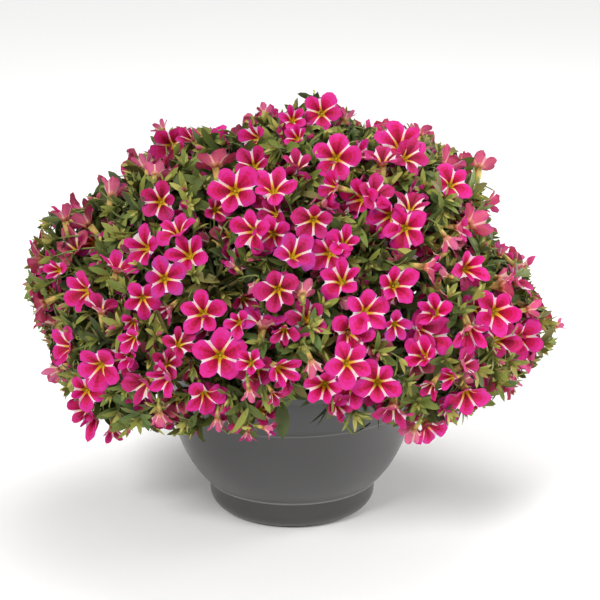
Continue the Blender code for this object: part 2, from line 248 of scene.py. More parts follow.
BELOW_HEM = 0.030

# The room in front of a bloom. A bud keeps out of the face's own space. A leaf is left out where it cuts
# through the face, crosses its plane or hides it, within these shares of the bloom's radius.
FACE_SPACE = (-0.006, 0.040)
NEAR_BLOOM = 0.040
CUT_SHARE = 0.85
CUT_LEVEL = 0.001
CUT_DEPTH = 0.0025
CROSS_SHARE = 0.8
HIDE_SHARE = 0.7

# The blooms that the photograph shows: the pixel of the throat, which way the bloom faces, as shares to the
# right, up and towards the camera, and its radius in pixels. Where two overlap, the nearer one is first.
SEEN_BLOOMS = (
    (293, 118, -0.2, 0.1, 1, 16), (321, 112, 0, 0.1, 1, 18), (253, 138, -0.75, 0.1, 0.6, 18),
    (188, 137, -0.5, 0.3, 0.7, 14), (171, 146, -0.1, 0, 1, 20), (335, 158, 0, 0.1, 1, 23),
    (400, 141, 0, 0.55, 0.85, 24), (409, 156, 0.5, 0.4, 0.7, 20), (382, 157, 0, 0.9, 0.35, 21),
    (298, 163, -0.15, 0.65, 0.7, 18), (234, 190, 0, 0.05, 1, 25), (254, 164, 0, 0.5, 0.8, 20),
    (273, 187, -0.15, 0.5, 0.85, 22), (160, 201, -0.2, 0.2, 1, 20), (217, 209, 0, 0, 1, 18),
    (144, 162, -0.3, 0.8, -0.3, 14), (113, 190, 0, 0.95, -0.3, 19), (216, 161, 0, 0.9, -0.4, 21),
    (375, 194, 0.2, 0.45, 0.85, 19), (359, 199, -0.3, -0.1, 0.95, 20), (331, 186, -0.75, 0, 0.65, 18),
    (314, 221, 0.1, -0.1, 1, 21), (405, 229, 0.3, 0, 0.95, 22), (388, 218, -0.3, 0.2, 0.95, 21),
    (328, 203, 0.8, 0, 0.5, 16), (450, 161, 0.35, 0.9, -0.1, 19), (479, 163, 0.1, 0.9, -0.35, 19),
    (452, 183, 0.3, 0.3, 0.8, 18), (492, 203, 1, 0.1, 0, 15), (474, 221, 0.75, 0.5, -0.3, 21),
    (462, 228, 0.95, -0.1, 0.1, 15), (449, 242, 0.3, -0.8, -0.2, 14), (501, 249, 0.2, 0.95, -0.2, 14),
    (64, 212, -0.3, 0.85, -0.3, 18), (84, 220, -0.5, 0.6, -0.3, 19), (91, 242, -0.1, 0.1, 1, 18),
    (176, 228, 0.25, 0.45, 0.8, 20), (250, 231, -0.1, 0.05, 1, 22), (273, 235, 0.05, -0.3, 0.9, 18),
    (142, 248, -0.7, 0.1, 0.7, 20), (188, 253, 0.05, 0.15, 1, 22), (164, 279, -0.1, 0, 1, 23),
    (119, 265, 0, 0.95, 0.1, 21), (36, 260, -0.95, 0, -0.2, 20), (81, 292, -0.65, 0, 0.75, 21),
    (143, 300, 0, -0.35, 0.9, 19), (101, 306, -0.1, 0.9, 0.3, 18), (39, 306, -0.7, -0.4, 0.1, 19),
    (64, 347, -0.75, 0, 0.6, 18), (132, 341, -0.4, -0.3, 0.8, 15), (202, 313, 0, 0.05, 1, 24),
    (278, 291, -0.1, -0.15, 1, 21), (341, 278, 0.1, 0, 1, 23), (329, 253, -0.2, 0.1, 0.95, 22),
    (395, 284, 0.1, 0, 1, 22), (368, 310, 0.05, 0.1, 1, 23), (433, 311, -0.2, 0.2, 0.95, 21),
    (422, 354, -0.2, 0.1, 1, 21), (429, 337, 0.15, 0.3, 0.9, 24), (352, 334, 0.1, -0.2, 0.9, 24),
    (349, 363, 0.1, 0.15, 0.9, 22), (219, 356, 0, 0.05, 1, 25), (181, 342, 0.6, 0, 0.75, 19),
    (283, 371, 0.35, 0, 0.9, 22), (313, 366, 0, -0.8, -0.3, 15), (163, 378, -0.4, 0, 0.9, 21),
    (167, 363, 0, 0.2, 0.9, 17), (98, 368, -0.1, -0.5, 0.8, 22), (141, 386, -0.6, -0.4, 0.6, 21),
    (85, 391, -0.3, -0.2, 0.9, 18), (91, 421, -0.2, -0.6, 0.7, 21), (206, 397, 0.1, -0.4, 0.85, 20),
    (324, 388, -0.1, -0.4, 0.85, 22), (378, 383, 0, -0.15, 1, 22), (351, 389, 0, -0.4, 0.85, 20),
    (470, 268, 0.5, 0.1, 0.8, 22), (432, 268, 0.85, -0.3, 0.3, 18), (509, 287, 0.75, 0.4, -0.2, 22),
    (497, 312, 0, 0, 1, 24), (523, 339, 0.35, -0.2, 0.9, 21), (533, 309, 0.8, 0.4, -0.2, 14),
    (470, 335, 0.2, -0.4, 0.8, 23), (468, 363, 0.5, 0, 0.7, 18), (500, 338, 0.3, 0.1, 0.9, 21),
    (444, 274, -0.7, 0.5, -0.1, 10), (429, 388, -0.2, -0.4, 0.5, 15), (449, 378, -0.4, -0.2, 0.7, 16),
    (468, 397, 0.3, -0.6, 0.6, 21), (392, 413, 0, -0.7, 0.5, 21), (217, 424, -0.1, -0.85, -0.2, 14),
    (346, 116, 0.3, 0.8, -0.3, 12), (420, 131, 0.2, 0.9, -0.2, 12), (55, 271, -0.5, -0.3, 0.3, 15),
    (132, 325, -0.3, -0.2, 0.6, 15), (272, 213, -0.6, 0.1, 0.7, 18), (231, 264, -0.3, 0.5, 0.3, 10),
    (255, 288, -0.2, -0.3, -0.5, 12), (302, 292, -0.3, 0.3, -0.3, 17), (238, 322, 0, 0, 1, 15),
    (264, 320, 0, 0.95, 0.2, 22), (295, 253, 0, 0.5, 0.6, 21), (345, 241, 0.2, 0.3, 0.8, 18),
    (396, 326, 0.2, -0.1, 0.9, 16), (250, 362, 0.3, 0, 0.8, 16), (283, 333, -0.2, -0.2, 0.8, 16),
    (430, 430, 0.4, -0.5, 0.1, 20), (412, 432, -0.3, -0.6, -0.2, 14), (508, 382, 0.3, -0.7, -0.1, 15),
    (515, 365, 0.5, -0.3, 0.3, 15), (463, 378, 0.2, 0.2, -0.3, 12), (55, 372, -0.7, -0.4, -0.2, 14),
    (160, 418, 0, -0.8, -0.3, 15), (112, 433, -0.2, -0.6, 0.2, 14), (84, 408, -0.2, 0.1, 0.8, 16),
    (128, 358, -0.3, -0.1, 0.6, 16), (250, 394, 0, -0.8, -0.2, 12), (247, 437, 0, -0.6, 0.4, 11),
    (270, 429, 0.8, -0.1, 0.2, 11), (275, 396, 0.2, -0.3, 0.6, 12), (161, 127, -0.2, 0.7, -0.2, 11),
    (266, 111, 0.2, 0.8, -0.2, 10), (296, 136, 0, 0.3, 0.7, 15), (361, 152, 0.4, 0.2, 0.6, 16),
    (411, 204, 0, 0.75, 0.3, 20), (459, 195, 0.2, -0.3, -0.2, 15), (156, 173, -0.1, 0.4, -0.3, 14),
    (502, 281, 0.2, 0.1, -0.3, 15), (474, 326, -0.1, 0.2, -0.2, 16), (560, 325, 0.8, 0.1, 0, 9),
)

# The violet ones among them, and the radius in pixels from which a bloom is always magenta.
SEEN_VIOLET = ((164, 279), (264, 320), (295, 253), (396, 326))
LARGE_BLOOM = 22

# The leafy tips that show best in the photograph, each by the pixel where its heart is.
SEEN_TIPS = (
    (314, 93), (263, 122), (207, 134), (186, 166), (369, 132), (133, 166), (101, 190), (44, 224),
    (50, 240), (424, 188), (309, 180), (439, 154), (493, 190), (443, 213), (466, 200), (109, 277),
    (65, 320), (156, 335), (154, 246), (193, 274), (246, 260), (261, 342), (322, 306), (312, 328),
    (449, 297), (481, 287), (524, 270), (546, 322), (112, 418), (185, 424), (185, 396), (241, 428),
    (260, 392), (408, 383), (446, 361), (448, 409), (497, 376), (204, 183),
)

# The crown's outline in the photograph, clockwise from its top, by pixels. It runs straight from one point to
# the next, and the tips of leaves stand out from it a little.
OUTLINE = (
    (320, 91), (345, 107), (357, 122), (371, 130), (393, 125), (410, 127), (425, 125), (434, 142),
    (446, 147), (470, 158), (488, 172), (494, 200), (488, 224), (501, 247), (504, 254), (527, 263),
    (533, 285), (538, 303), (562, 318), (560, 335), (545, 354), (526, 370), (512, 392), (494, 404),
    (475, 415), (455, 428), (435, 439), (410, 432), (385, 425), (270, 436), (240, 440), (215, 440),
    (190, 436), (150, 431), (105, 441), (80, 437), (72, 405), (53, 378), (50, 350), (38, 322),
    (28, 300), (28, 275), (24, 258), (32, 236), (42, 220), (60, 208), (80, 208), (90, 198),
    (100, 178), (121, 166), (147, 153), (160, 125), (185, 130), (207, 127), (216, 133), (228, 139),
    (240, 131), (262, 109), (278, 117), (290, 102), (308, 90),
)
OUTLINE_MIDDLE = (295, 290)
LEAF_OVERHANG = 5
TIP_MARGIN = 5
BLOOM_MARGIN = 10
INSET_STEP = 0.004
MOST_INSETS = 14

# A leaf: where its stations are along it, and how wide it is at each, as shares of its length and half width.
# LEAF_MIDDLE is the point on its rib at the widest station. A SPREAD is how far chance turns or widens it.
LEAF_STATIONS = (0, 0.22, 0.52, 0.82)
LEAF_WIDTHS = (0.16, 0.74, 1.0, 0.66)
LEAF_MIDDLE = 7
LEAF_FOLD = 0.32
LEAF_ASPECT = 0.37
YOUNG_ASPECT = 0.30
LEAN_SPREAD = 0.14
WAY_SPREAD = 0.1
FACE_SPREAD = 0.25
ASPECT_SPREAD = (0.85, 1.15)
LEAF_DROOP = (-0.02, 0.30)
GOLDEN_TURN = math.radians(137.5)

# A bloom has five lobes. Columns run across a lobe from its seam to the next lobe's, and rows from the throat
# to the rim. The back has some of the front's rows.
LOBES = 5
LOBE_TURN = 360 // LOBES
COLUMN_ANGLES = (-36, -31, -24, -12, 0, 12, 24, 31)
COLUMNS = len(COLUMN_ANGLES)
SEAM_REACH = (0.58, 0.70)
LOBE_BLUNTNESS = (1.15, 1.9)
LOBE_SKEW = 0.07
LOBE_STRETCH = 0.08
RAGGED_EDGE = 0.018
LOBE_LEAN = 14
LOBE_TWIST = 0.0018
CREASE = 0.0008
ROW_SHARES = (0, 0.15, 0.3, 0.45, 0.62, 0.8, 1)
BACK_ROWS = (0, 2, 4, 5, 6)
LEVEL_ROW = 4
PETAL_LENGTH = 0.0178
PETAL_THICKNESS = 0.0003
STRIPE_HALF_WIDTHS = (0.0010, 0.0009, 0.0008, 0.0007, 0.0007, 0.0008, 0.0012)
PLEAT = 0.0016
RUFFLE = 0.0004
RUFFLED_FROM = 0.7
MOUTH_RADIUS = 0.0026
MOUTH_ANGLE = 15
FLARE_LENGTH = 0.0088
FLARE_STEPS = 40
FLARE_OVERRUN = 1.2
OPEN_ANGLE = (74, 98)
HALF_OPEN_ANGLE = (42, 62)
RIM_CURL = (12, 24)
CURL_START = 0.62
OPEN_RADIUS = 0.0152
THROAT_DEPTH = 0.006
PISTIL_RADIUS = 0.0010
PISTIL_FOOT = 0.002
PISTIL_TOP = 0.0006
BACK_MOUTH = 1.12
TUBE_LENGTH = 0.017
TUBE_RADII = (0.0024, 0.0013)
TUBE_SHARES = (0.5, 1)
BLOSSOM_PIECES = 3
SEPALS = 5
SEPAL_LENGTH = 0.0085
SEPAL_LEAN = 0.42
SEPAL_ASPECT = 0.24
SEPAL_SINK = 0.001
LEAST_SEPALS = 0.8

# A bud: distance along it and radius there. Its sepals are smaller than a bloom's.
BUD_PROFILE = ((0, 0.0009), (0.0035, 0.0013), (0.008, 0.0020), (0.0112, 0.0019), (0.0135, 0.0007))
BUD_POINT = 1.06
BUD_SIDES = 5
BUD_GREEN_RINGS = 2
BUD_SHARE = 0.2
BUD_SIZES = (0.65, 1.0)
BUD_LEAN_SPREAD = 0.35
BUD_REACH = 0.010
BUD_SINK = 0.003
BUD_SEPALS = 0.8

# The studio. Each light has its kind, its place, its width, which for a sun is a spread, and its power.
FLOOR_SIZE = 120
AIR_STRENGTH = 0.42
LIGHTS = {
    "key_light": ("SUN", (-0.9, -1.5, 1.6), math.radians(20), 2.3),
    "fill_softbox": ("AREA", (1.4, -1.0, 0.9), 1.0, 12),
    "top_softbox": ("AREA", (0.2, 0.5, 1.8), 1.2, 16),
    "edge_softbox": ("AREA", (1.4, 0.5, 0.3), 0.7, 14),
}


def along(azimuth, elevation):
    """The unit vector at this azimuth, counted from +X towards +Y, and this elevation above the horizon."""
    a, e = math.radians(azimuth), math.radians(elevation)
    return np.array((math.cos(a) * math.cos(e), math.sin(a) * math.cos(e), math.sin(e)))


def camera_axes():
    """The camera's own right, up and backwards directions."""
    e = math.radians(CAMERA_ELEVATION)
    return np.array(((1, 0, 0), (0, math.sin(e), math.cos(e)), (0, -math.cos(e), math.sin(e))))


CAMERA_AXES = camera_axes()
TO_CAMERA = CAMERA_AXES[2]
CAMERA_PLACE = CAMERA_TARGET + TO_CAMERA * CAMERA_DISTANCE
MASS_NAMES = list(FOLIAGE)
MASS_AXES = np.array([along(azimuth, elevation) for azimuth, elevation, _ in FOLIAGE.values()])
MASS_REACH = np.array([reach for _, _, reach in FOLIAGE.values()])
TRUNK_TIP = CROWN_CENTRE + MASS_AXES[0] * LIMB_START


def unit(vectors):
    return vectors / np.linalg.norm(vectors, axis=-1, keepdims=True)


def across(axis):
    """Two unit vectors at right angles to an axis and to each other."""
    helper = UP if abs(axis[2]) < NEARLY_UPRIGHT else np.array((1.0, 0.0, 0.0))
    side = unit(np.cross(axis, helper))
    return side, np.cross(axis, side)


def ring_round(axis, sides):
    """Unit offsets from an axis, evenly round it."""
    side, rise = across(axis)
    angles = 2 * math.pi * np.arange(sides) / sides
    return side * np.cos(angles)[:, None] + rise * np.sin(angles)[:, None]


def between(table, at):
    """The value at this place, or at each of these places, between the rows of a table."""
    return np.interp(at, *zip(*table))


# Materials

def linear(colour):
    """A six-digit sRGB hex colour as linear red, green, blue and full alpha."""
    channels = [int(colour[i:i + 2], 16) / 255 for i in (0, 2, 4)]
    return [c / 12.92 if c <= 0.04045 else ((c + 0.055) / 1.055) ** 2.4 for c in channels] + [1]


def add_node(material, kind, settings=None, links=None):
    """Add a node. Settings are its properties and unlinked sockets, links are sockets and what feeds them."""
    node = material.node_tree.nodes.new(kind)
    for name, value in (settings or {}).items():
        if name in node.inputs:
            node.inputs[name].default_value = value
        else:
            setattr(node, name, value)
    for name, source in (links or {}).items():
        material.node_tree.links.new(source, node.inputs[name])
    return node


def new_material(name, colour, roughness, **sockets):
    """A material with one main shader. The keywords are more of the shader's sockets, with _ for a space."""
    material = bpy.data.materials.new(name)
    material.use_nodes = True
    shader = material.node_tree.nodes["Principled BSDF"]
    shader.inputs["Base Color"].default_value = linear(colour)
    shader.inputs["Roughness"].default_value = roughness
    for socket, value in sockets.items():
        shader.inputs[socket.replace("_", " ")].default_value = value
    return material, shader


def grain(material, shader, size, depth, roughness=None):
    """A fine relief in the object's own space, which can also vary the skin between two roughnesses."""
    place = add_node(material, "ShaderNodeTexCoord")
    pattern = add_node(material, "ShaderNodeTexNoise", {"Scale": 1 / size, "Detail": 4, "Roughness": 0.6},
                       {"Vector": place.outputs["Object"]})
    relief = add_node(material, "ShaderNodeBump", {"Strength": 0.6, "Distance": depth},
                      {"Height": pattern.outputs["Fac"]})
    material.node_tree.links.new(relief.outputs["Normal"], shader.inputs["Normal"])
    if roughness:
        spread = add_node(material, "ShaderNodeMapRange", {"To Min": roughness[0], "To Max": roughness[1]},
                          {"Value": pattern.outputs["Fac"]})
        material.node_tree.links.new(spread.outputs["Result"], shader.inputs["Roughness"])
    return pattern


def shade_between(material, shader, source, stops):
    """Colour the shader by a value: a colour for each of these places between 0 and 1."""
    shades = add_node(material, "ShaderNodeValToRGB", links={"Fac": source})
    for element, (position, colour) in zip(shades.color_ramp.elements, (stops[0], stops[-1])):
        element.position = position
        element.color = linear(colour)
    for position, colour in stops[1:-1]:
        shades.color_ramp.elements.new(position).color = linear(colour)
    material.node_tree.links.new(shades.outputs["Color"], shader.inputs["Base Color"])


def moulded_plastic():
    """Injection-moulded polypropylene, anthracite through and through: a satin skin with a very fine
    spark-eroded texture, so that it takes broad soft highlights at its edges. The foot and the low part of
    the body are darker: painted shade, as the bowl's underside gets less light."""
    material, shader = new_material("satin_moulded_polypropylene", "4a4a4c", roughness=0.34, IOR=1.52)
    grain(material, shader, size=0.0011, depth=0.00006, roughness=(0.24, 0.36))
    place = add_node(material, "ShaderNodeTexCoord")
    height = add_node(material, "ShaderNodeSeparateXYZ", links={"Vector": place.outputs["Object"]})
    share = add_node(material, "ShaderNodeMapRange", {"From Min": 0, "From Max": POT_HEIGHT},
                     {"Value": height.outputs["Z"]})
    # Painted shade: the base colour grows darker from the rim band down to the foot.
    shade_between(material, shader, share.outputs["Result"],
                  ((0, "3a3938"), (FOOT_HEIGHT / POT_HEIGHT, "3b3a39"), (BODY_LOWEST / POT_HEIGHT, "434242"),
                   (1, "4f4e4f")))
    return material


def highlight_plastic():
    """The same polypropylene, paler and shinier: a painted highlight, so that the mould's bead and the lip's
    rounding show as light lines.
    """
    material, shader = new_material("painted_highlight_polypropylene", "6a6969", roughness=0.22, IOR=1.52)
    grain(material, shader, size=0.0011, depth=0.00004)
    return material


def peat_soil():
    """Damp peat compost: near black, matt and crumbly, with paler fibres."""
    material, shader = new_material("damp_peat_compost", "2b211a", roughness=0.95)
    pattern = grain(material, shader, size=0.0015, depth=0.0012)
    shade_between(material, shader, pattern.outputs["Fac"], ((0.42, "1d1611"), (0.72, "4a3a2b")))
    return material


def young_bark():
    """The bark of a half-woody stem: green brown and matt, with pale lengthwise flecks."""
    material, shader = new_material("half_woody_bark", "6b6a3c", roughness=0.8)
    pattern = grain(material, shader, size=0.0016, depth=0.0005)
    shade_between(material, shader, pattern.outputs["Fac"], ((0.35, "4f4a2a"), (0.7, "8b8a52")))
    return material


def leaf_skin(name, colour):
    """A leaf with short sticky hairs: matt, with a faint pale bloom where it turns away."""
    material, shader = new_material(name, colour, roughness=0.6, Specular_IOR_Level=0.35,
                                    Sheen_Weight=0.05, Sheen_Roughness=0.5)
    grain(material, shader, size=0.0016, depth=0.0004)
    return material


def petal_skin(name, colour):
    """A petal: thin and soft, with hardly any gloss, and light from behind glows through it a little."""
    material, shader = new_material(name, colour, roughness=0.6, Specular_IOR_Level=0.16,
                                    Subsurface_Weight=0.35, Subsurface_Radius=(1, 0.25, 0.5),
                                    Subsurface_Scale=0.002)
    grain(material, shader, size=0.0012, depth=0.00025)
    return material


# Each colour has its own place on the plant, so each is a plain base colour given to whole faces.
OLD_LEAVES = {
    "leaf_shaded_green": "3d481c",
    "leaf_olive_green": "566227",
    "leaf_grey_green": "5a7036",
    "leaf_fresh_green": "747e33",
    "leaf_bronze_green": "69622a",
}
LEAF_SHARES = (0.13, 0.40, 0.13, 0.15, 0.19)
YOUNG_LEAVES = {
    "young_leaf_green": "6a7730",
    "young_leaf_yellow_green": "828637",
    "young_leaf_pale_hairy": "aaa354",
    "sepal_green": "7a7636",
}
PETAL_PARTS = {
    "stripe_white": "ebcbd8",
    "stripe_cream": "ecc8c0",
    "stripe_straw": "e9b878",
    "stripe_yellow": "e6aa3a",
    "throat_gold": "d4a524",
    "throat_olive": "9a871f",
    "petal_back": "c45c78",
    "petal_back_rim": "b74a78",
    "petal_back_seam": "e0ab9c",
    "tube_salmon": "cb8468",
    "tube_straw": "c4a660",
    "tube_green": "a09c4c",
    "bud_pink": "ac5068",
}
SEPAL_TONE = list(YOUNG_LEAVES).index("sepal_green")
STALK_COLOUR = "6c7838"
TINTS = 9

# Each kind of petal, from its core to its rim, and the share of the open blooms that have it.
PETAL_KINDS = {
    "magenta": (("8a0629", "b80d4c", "c81f7c", "c92e8b"), 0.54),
    # The deep kind is the magenta darkened: painted shade, as for a bloom that lies in shadow.
    "deep": (("6c0420", "9a0f40", "b01b60", "b32a76"), 0.43),
    "violet": (("84082c", "b3145a", "b8267c", "a5368c"), 0.03),
    "spent": (("5c1424", "8a2440", "a43c54", "b05868"), 0),
}
OPEN_KINDS = [name for name, (_, share) in PETAL_KINDS.items() if share]
INNER_KINDS = ("deep", "deep", "deep", "deep", "spent")
SPENT_FINISHES = {"petal_back": "petal_spent_5", "petal_back_rim": "petal_spent_6",
                  "stripe_white": "petal_back_seam"}

# The finish of each face of a lobe, from the throat's row out to the rim's, and from the seam in to the
# middle. Numbers are tints of the bloom's own kind.
LOBE_ROWS = (
    ("throat_gold", 0, 0, 0),
    ("stripe_yellow", 1, 0, 0),
    ("stripe_straw", 3, 2, 1),
    ("stripe_cream", 4, 3, 2),
    ("stripe_cream", 6, 5, 4),
    ("stripe_white", 8, 7, 6),
)


def petal_tints(stops):
    """The tints of a kind of petal, evenly spaced through its hex colours."""
    channels = np.array([[int(stop[i:i + 2], 16) for i in (0, 2, 4)] for stop in stops])
    places = np.linspace(0, len(stops) - 1, TINTS)
    shades = [np.interp(places, range(len(stops)), channel) for channel in channels.T]
    return ["%02x%02x%02x" % tuple(int(round(value)) for value in shade) for shade in zip(*shades)]


PETALS = dict(PETAL_PARTS)
for kind, (stops, _) in PETAL_KINDS.items():
    PETALS.update({f"petal_{kind}_{tint}": colour for tint, colour in enumerate(petal_tints(stops))})
PETAL_TONES = {name: index for index, name in enumerate(PETALS)}


# Meshes

def keep(obj, slot, *nodes):
    """Hand a finished piece to the frame: it rides on the one body and may replace CAD nodes. Its slot is not
    used.
    """
    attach(obj, "root")
    if nodes:
        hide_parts(*nodes)


def deselect():
    bpy.ops.object.select_all(action="DESELECT")


def pick(obj):
    deselect()
    obj.select_set(True)
    bpy.context.view_layer.objects.active = obj


def add_object(name, data):
    obj = bpy.data.objects.new(name, data)
    bpy.context.scene.collection.objects.link(obj)
    return obj


class Heap:
    """Points, faces and the finish of each face, gathered for one joined mesh."""

    def __init__(self):
        self.points = []
        self.faces = []
        self.tones = []
        self.count = 0

    def add(self, points, faces, tones):
        start = self.count
        self.points.append(points)
        self.faces += [[start + i for i in face] for face in faces]
        self.tones += tones
        self.count += len(points)

    def build(self, name, materials):
        mesh = bpy.data.meshes.new(name)
        mesh.from_pydata(np.concatenate(self.points).tolist(), [], self.faces)
        for material in materials:
            mesh.materials.append(material)
        mesh.polygons.foreach_set("material_index", self.tones)
        mesh.shade_smooth()
        return add_object(name, mesh)


def turned(name, profile):
    """A body turned round the Z axis: a circle is extruded ring by ring along the profile, and both its ends
    are filled."""
    deselect()
    first_radius, first_height = profile[0]
    bpy.ops.mesh.primitive_circle_add(vertices=TURNED_SIDES, radius=first_radius, fill_type="NGON",
                                      location=(0, 0, first_height))
    obj = bpy.context.object
    obj.name = name
    bpy.ops.object.transform_apply(location=True)
    bpy.ops.object.mode_set(mode="EDIT")
    bpy.ops.mesh.select_all(action="SELECT")
    bpy.ops.mesh.duplicate()
    bpy.ops.mesh.delete(type="ONLY_FACE")
    bpy.ops.mesh.select_all(action="DESELECT")
    bpy.ops.mesh.select_non_manifold(extend=False, use_wire=True, use_boundary=False,
                                     use_multi_face=False, use_non_contiguous=False, use_verts=False)
    for (radius, height), (next_radius, next_height) in zip(profile, profile[1:]):
        bpy.ops.mesh.extrude_edges_move(TRANSFORM_OT_translate={"value": (0, 0, next_height - height)})
        share = next_radius / radius
        bpy.ops.transform.resize(value=(share, share, 1), center_override=(0, 0, next_height))
    bpy.ops.mesh.edge_face_add()
    bpy.ops.mesh.select_all(action="SELECT")
    bpy.ops.mesh.remove_doubles(threshold=1e-6)
    bpy.ops.mesh.normals_make_consistent(inside=False)
    bpy.ops.object.mode_set(mode="OBJECT")
    return obj


def smooth(obj, angle):
    pick(obj)
    bpy.ops.object.shade_smooth_by_angle(angle=math.radians(angle))


def arc(radius, height, rounding, start, stop, steps):
    """Profile points on a rounding: its centre, its radius, and the angles it runs between. 0 points out."""
    points = []
    for step in range(steps + 1):
        angle = math.radians(start + (stop - start) * step / steps)
        points.append((radius + rounding * math.cos(angle), height + rounding * math.sin(angle)))
    return points


# The bowl and its soil

def body_radius(height, inset=0):
    """The radius of the bowl's body at a height, for a skin that lies this far inside the outer one."""
    rise = (height - BODY_CENTRE_HEIGHT) / (BODY_HALF_HEIGHT - inset)
    return BODY_CENTRE_RADIUS + (BODY_HALF_WIDTH - inset) * math.sqrt(1 - rise * rise)


def outer_body():
    """The body's outer skin from its rounded lip to the rim band, with a fine bead where the mould parted."""
    lip = BODY_LOWEST + LIP_ROUNDING
    top = POT_HEIGHT - RIM_BAND
    profile = arc(body_radius(lip) - LIP_ROUNDING, lip, LIP_ROUNDING, -90, LIP_ARC_END, EDGE_STEPS)
    for step in range(1, BODY_RINGS + 1):
        height = lip + (top - lip) * (step / BODY_RINGS) ** BODY_CROWDING
        if not LEDGE_STEPS[0] - LEDGE_MARGIN < height - LEDGE_HEIGHT < LEDGE_STEPS[-1] + LEDGE_MARGIN:
            profile.append((body_radius(height), height))
    for above, share in zip(LEDGE_STEPS, LEDGE_SHARES):
        height = LEDGE_HEIGHT + above
        profile.append((body_radius(height) + share * LEDGE_DEPTH, height))
    return sorted(profile, key=lambda point: point[1])


def make_bowl():
    rim_bottom = POT_HEIGHT - RIM_BAND
    rim_radius = body_radius(rim_bottom) + RIM_STEP
    rim_inside = body_radius(POT_HEIGHT, WALL)
    rounding, inner_rounding = EDGE_ROUNDING, FOOT_ROUNDING - WALL
    profile = [(POLE_RADIUS, UNDERSIDE_RECESS), (UNDERSIDE_RING - UNDERSIDE_SLOPE, UNDERSIDE_RECESS)]
    profile.append((UNDERSIDE_RING, 0))
    profile += arc(FOOT_RADIUS - FOOT_ROUNDING, FOOT_ROUNDING, FOOT_ROUNDING, -90, 0, FOOT_STEPS)
    profile.append((FOOT_RADIUS, FOOT_HEIGHT))
    profile.append((FOOT_RADIUS + NECK_OUT, BODY_LOWEST - NECK_GAP))
    profile += outer_body()
    profile += arc(rim_radius - rounding, rim_bottom + rounding, rounding, -90, 0, EDGE_STEPS)
    profile += arc(rim_radius - 2 * rounding, POT_HEIGHT - 2 * rounding, 2 * rounding, 0, 90, RIM_STEPS)
    profile += arc(rim_inside + rounding, POT_HEIGHT - rounding, rounding, 90, 180, EDGE_STEPS)
    for step in range(1, BODY_RINGS):
        height = POT_HEIGHT - rounding - (POT_HEIGHT - rounding - BODY_LOWEST) * step / BODY_RINGS
        profile.append((body_radius(height, WALL), height))
    profile += arc(FOOT_RADIUS - FOOT_ROUNDING, FLOOR + FOOT_ROUNDING - WALL, inner_rounding, 0, -90,
                   INNER_FOOT_STEPS)
    profile.append((POLE_RADIUS, FLOOR))
    bowl = turned("bowl", profile)
    smooth(bowl, BOWL_SMOOTH)
    bowl.data.materials.append(moulded_plastic())
    bowl.data.materials.append(highlight_plastic())
    # Faces that look out on the bead and on the lip's rounding take the painted highlight.
    for face in bowl.data.polygons:
        height = face.center.z
        on_ledge = LEDGE_STEPS[0] < height - LEDGE_HEIGHT < LEDGE_STEPS[-1]
        on_lip = 0 < height - BODY_LOWEST < LIP_HIGHLIGHT
        facing_out = face.normal.x * face.center.x + face.normal.y * face.center.y > 0
        face.material_index = int(facing_out and (on_ledge or on_lip))
    keep(bowl, "pot_plastic", "pot")


def make_soil():
    """The soil fills the bowl. Its top is crumbly, and its sides follow the bowl's inside."""
    inset = WALL + SOIL_GAP
    foot = FOOT_ROUNDING - WALL
    profile = [(POLE_RADIUS, FLOOR + CLEARANCE)]
    profile += arc(FOOT_RADIUS - inset - foot, FLOOR + CLEARANCE + foot, foot, -90, 0, SOIL_FOOT_STEPS)
    for step in range(SOIL_WALL_STEPS):
        height = BODY_LOWEST + (SOIL_TOP - BODY_LOWEST) * step / SOIL_WALL_STEPS
        profile.append((body_radius(height, inset), height))
    edge = body_radius(SOIL_TOP, inset)
    profile.append((edge, SOIL_TOP - SOIL_EDGE_DROP))
    for ring in range(1, SOIL_RINGS):
        profile.append((edge * (1 - ring / SOIL_RINGS) + POLE_RADIUS, SOIL_TOP))
    soil = turned("soil_bed", profile)
    for vert in soil.data.vertices:
        if vert.co.z > SOIL_TOP - SAME_HEIGHT:
            swell = noise.fractal(vert.co / SOIL_CRUMB, *CRUMB_NOISE)
            vert.co.z -= SOIL_RELIEF * (0.5 - 0.5 * max(-1, min(1, swell)))
    smooth(soil, SOIL_SMOOTH)
    soil.data.materials.append(peat_soil())
    keep(soil, "potting_soil", "soil")


# The woody limbs

def trunk_point(height):
    """Where the trunk's axis is at a height: upright in its flare, then leaning towards the topmost mass."""
    lean_start = np.array((0, 0, SOIL_TOP + TRUNK_FLARE))
    if height <= lean_start[2]:
        return np.array((0, 0, height))
    rise = TRUNK_TIP - lean_start
    return lean_start + rise * (height - lean_start[2]) / rise[2]


def cubic(handles, shares):
    """Points on the cubic curve of four handles."""
    t = np.asarray(shares)[:, None]
    a, b, c, d = handles
    return a * (1 - t) ** 3 + 3 * b * t * (1 - t) ** 2 + 3 * c * t * t * (1 - t) + d * t ** 3


def bark_limb(name, node, points, radii, bark):
    """One limb: a round curve made a mesh, with the bark's relief pushed into it."""
    curve = bpy.data.curves.new(name, "CURVE")
    curve.dimensions = "3D"
    curve.bevel_depth = 1
    curve.bevel_resolution = LIMB_BEVEL
    curve.use_fill_caps = True
    spline = curve.splines.new("POLY")
    spline.points.add(len(points) - 1)
    for target, point, radius in zip(spline.points, points, radii):
        target.co = (*point, 1)
        target.radius = radius
    obj = add_object(name, curve)
    pick(obj)
    bpy.ops.object.convert(target="MESH")
    texture = bpy.data.textures.new(name, "CLOUDS")
    texture.noise_scale = BARK_GRAIN
    relief = obj.modifiers.new("bark", "DISPLACE")
    relief.texture = texture
    relief.texture_coords = "LOCAL"
    relief.strength = BARK_RELIEF
    bpy.ops.object.modifier_apply(modifier=relief.name)
    bpy.ops.object.shade_smooth()
    obj.data.materials.clear()
    obj.data.materials.append(bark)
    keep(obj, "stem_bark", node)


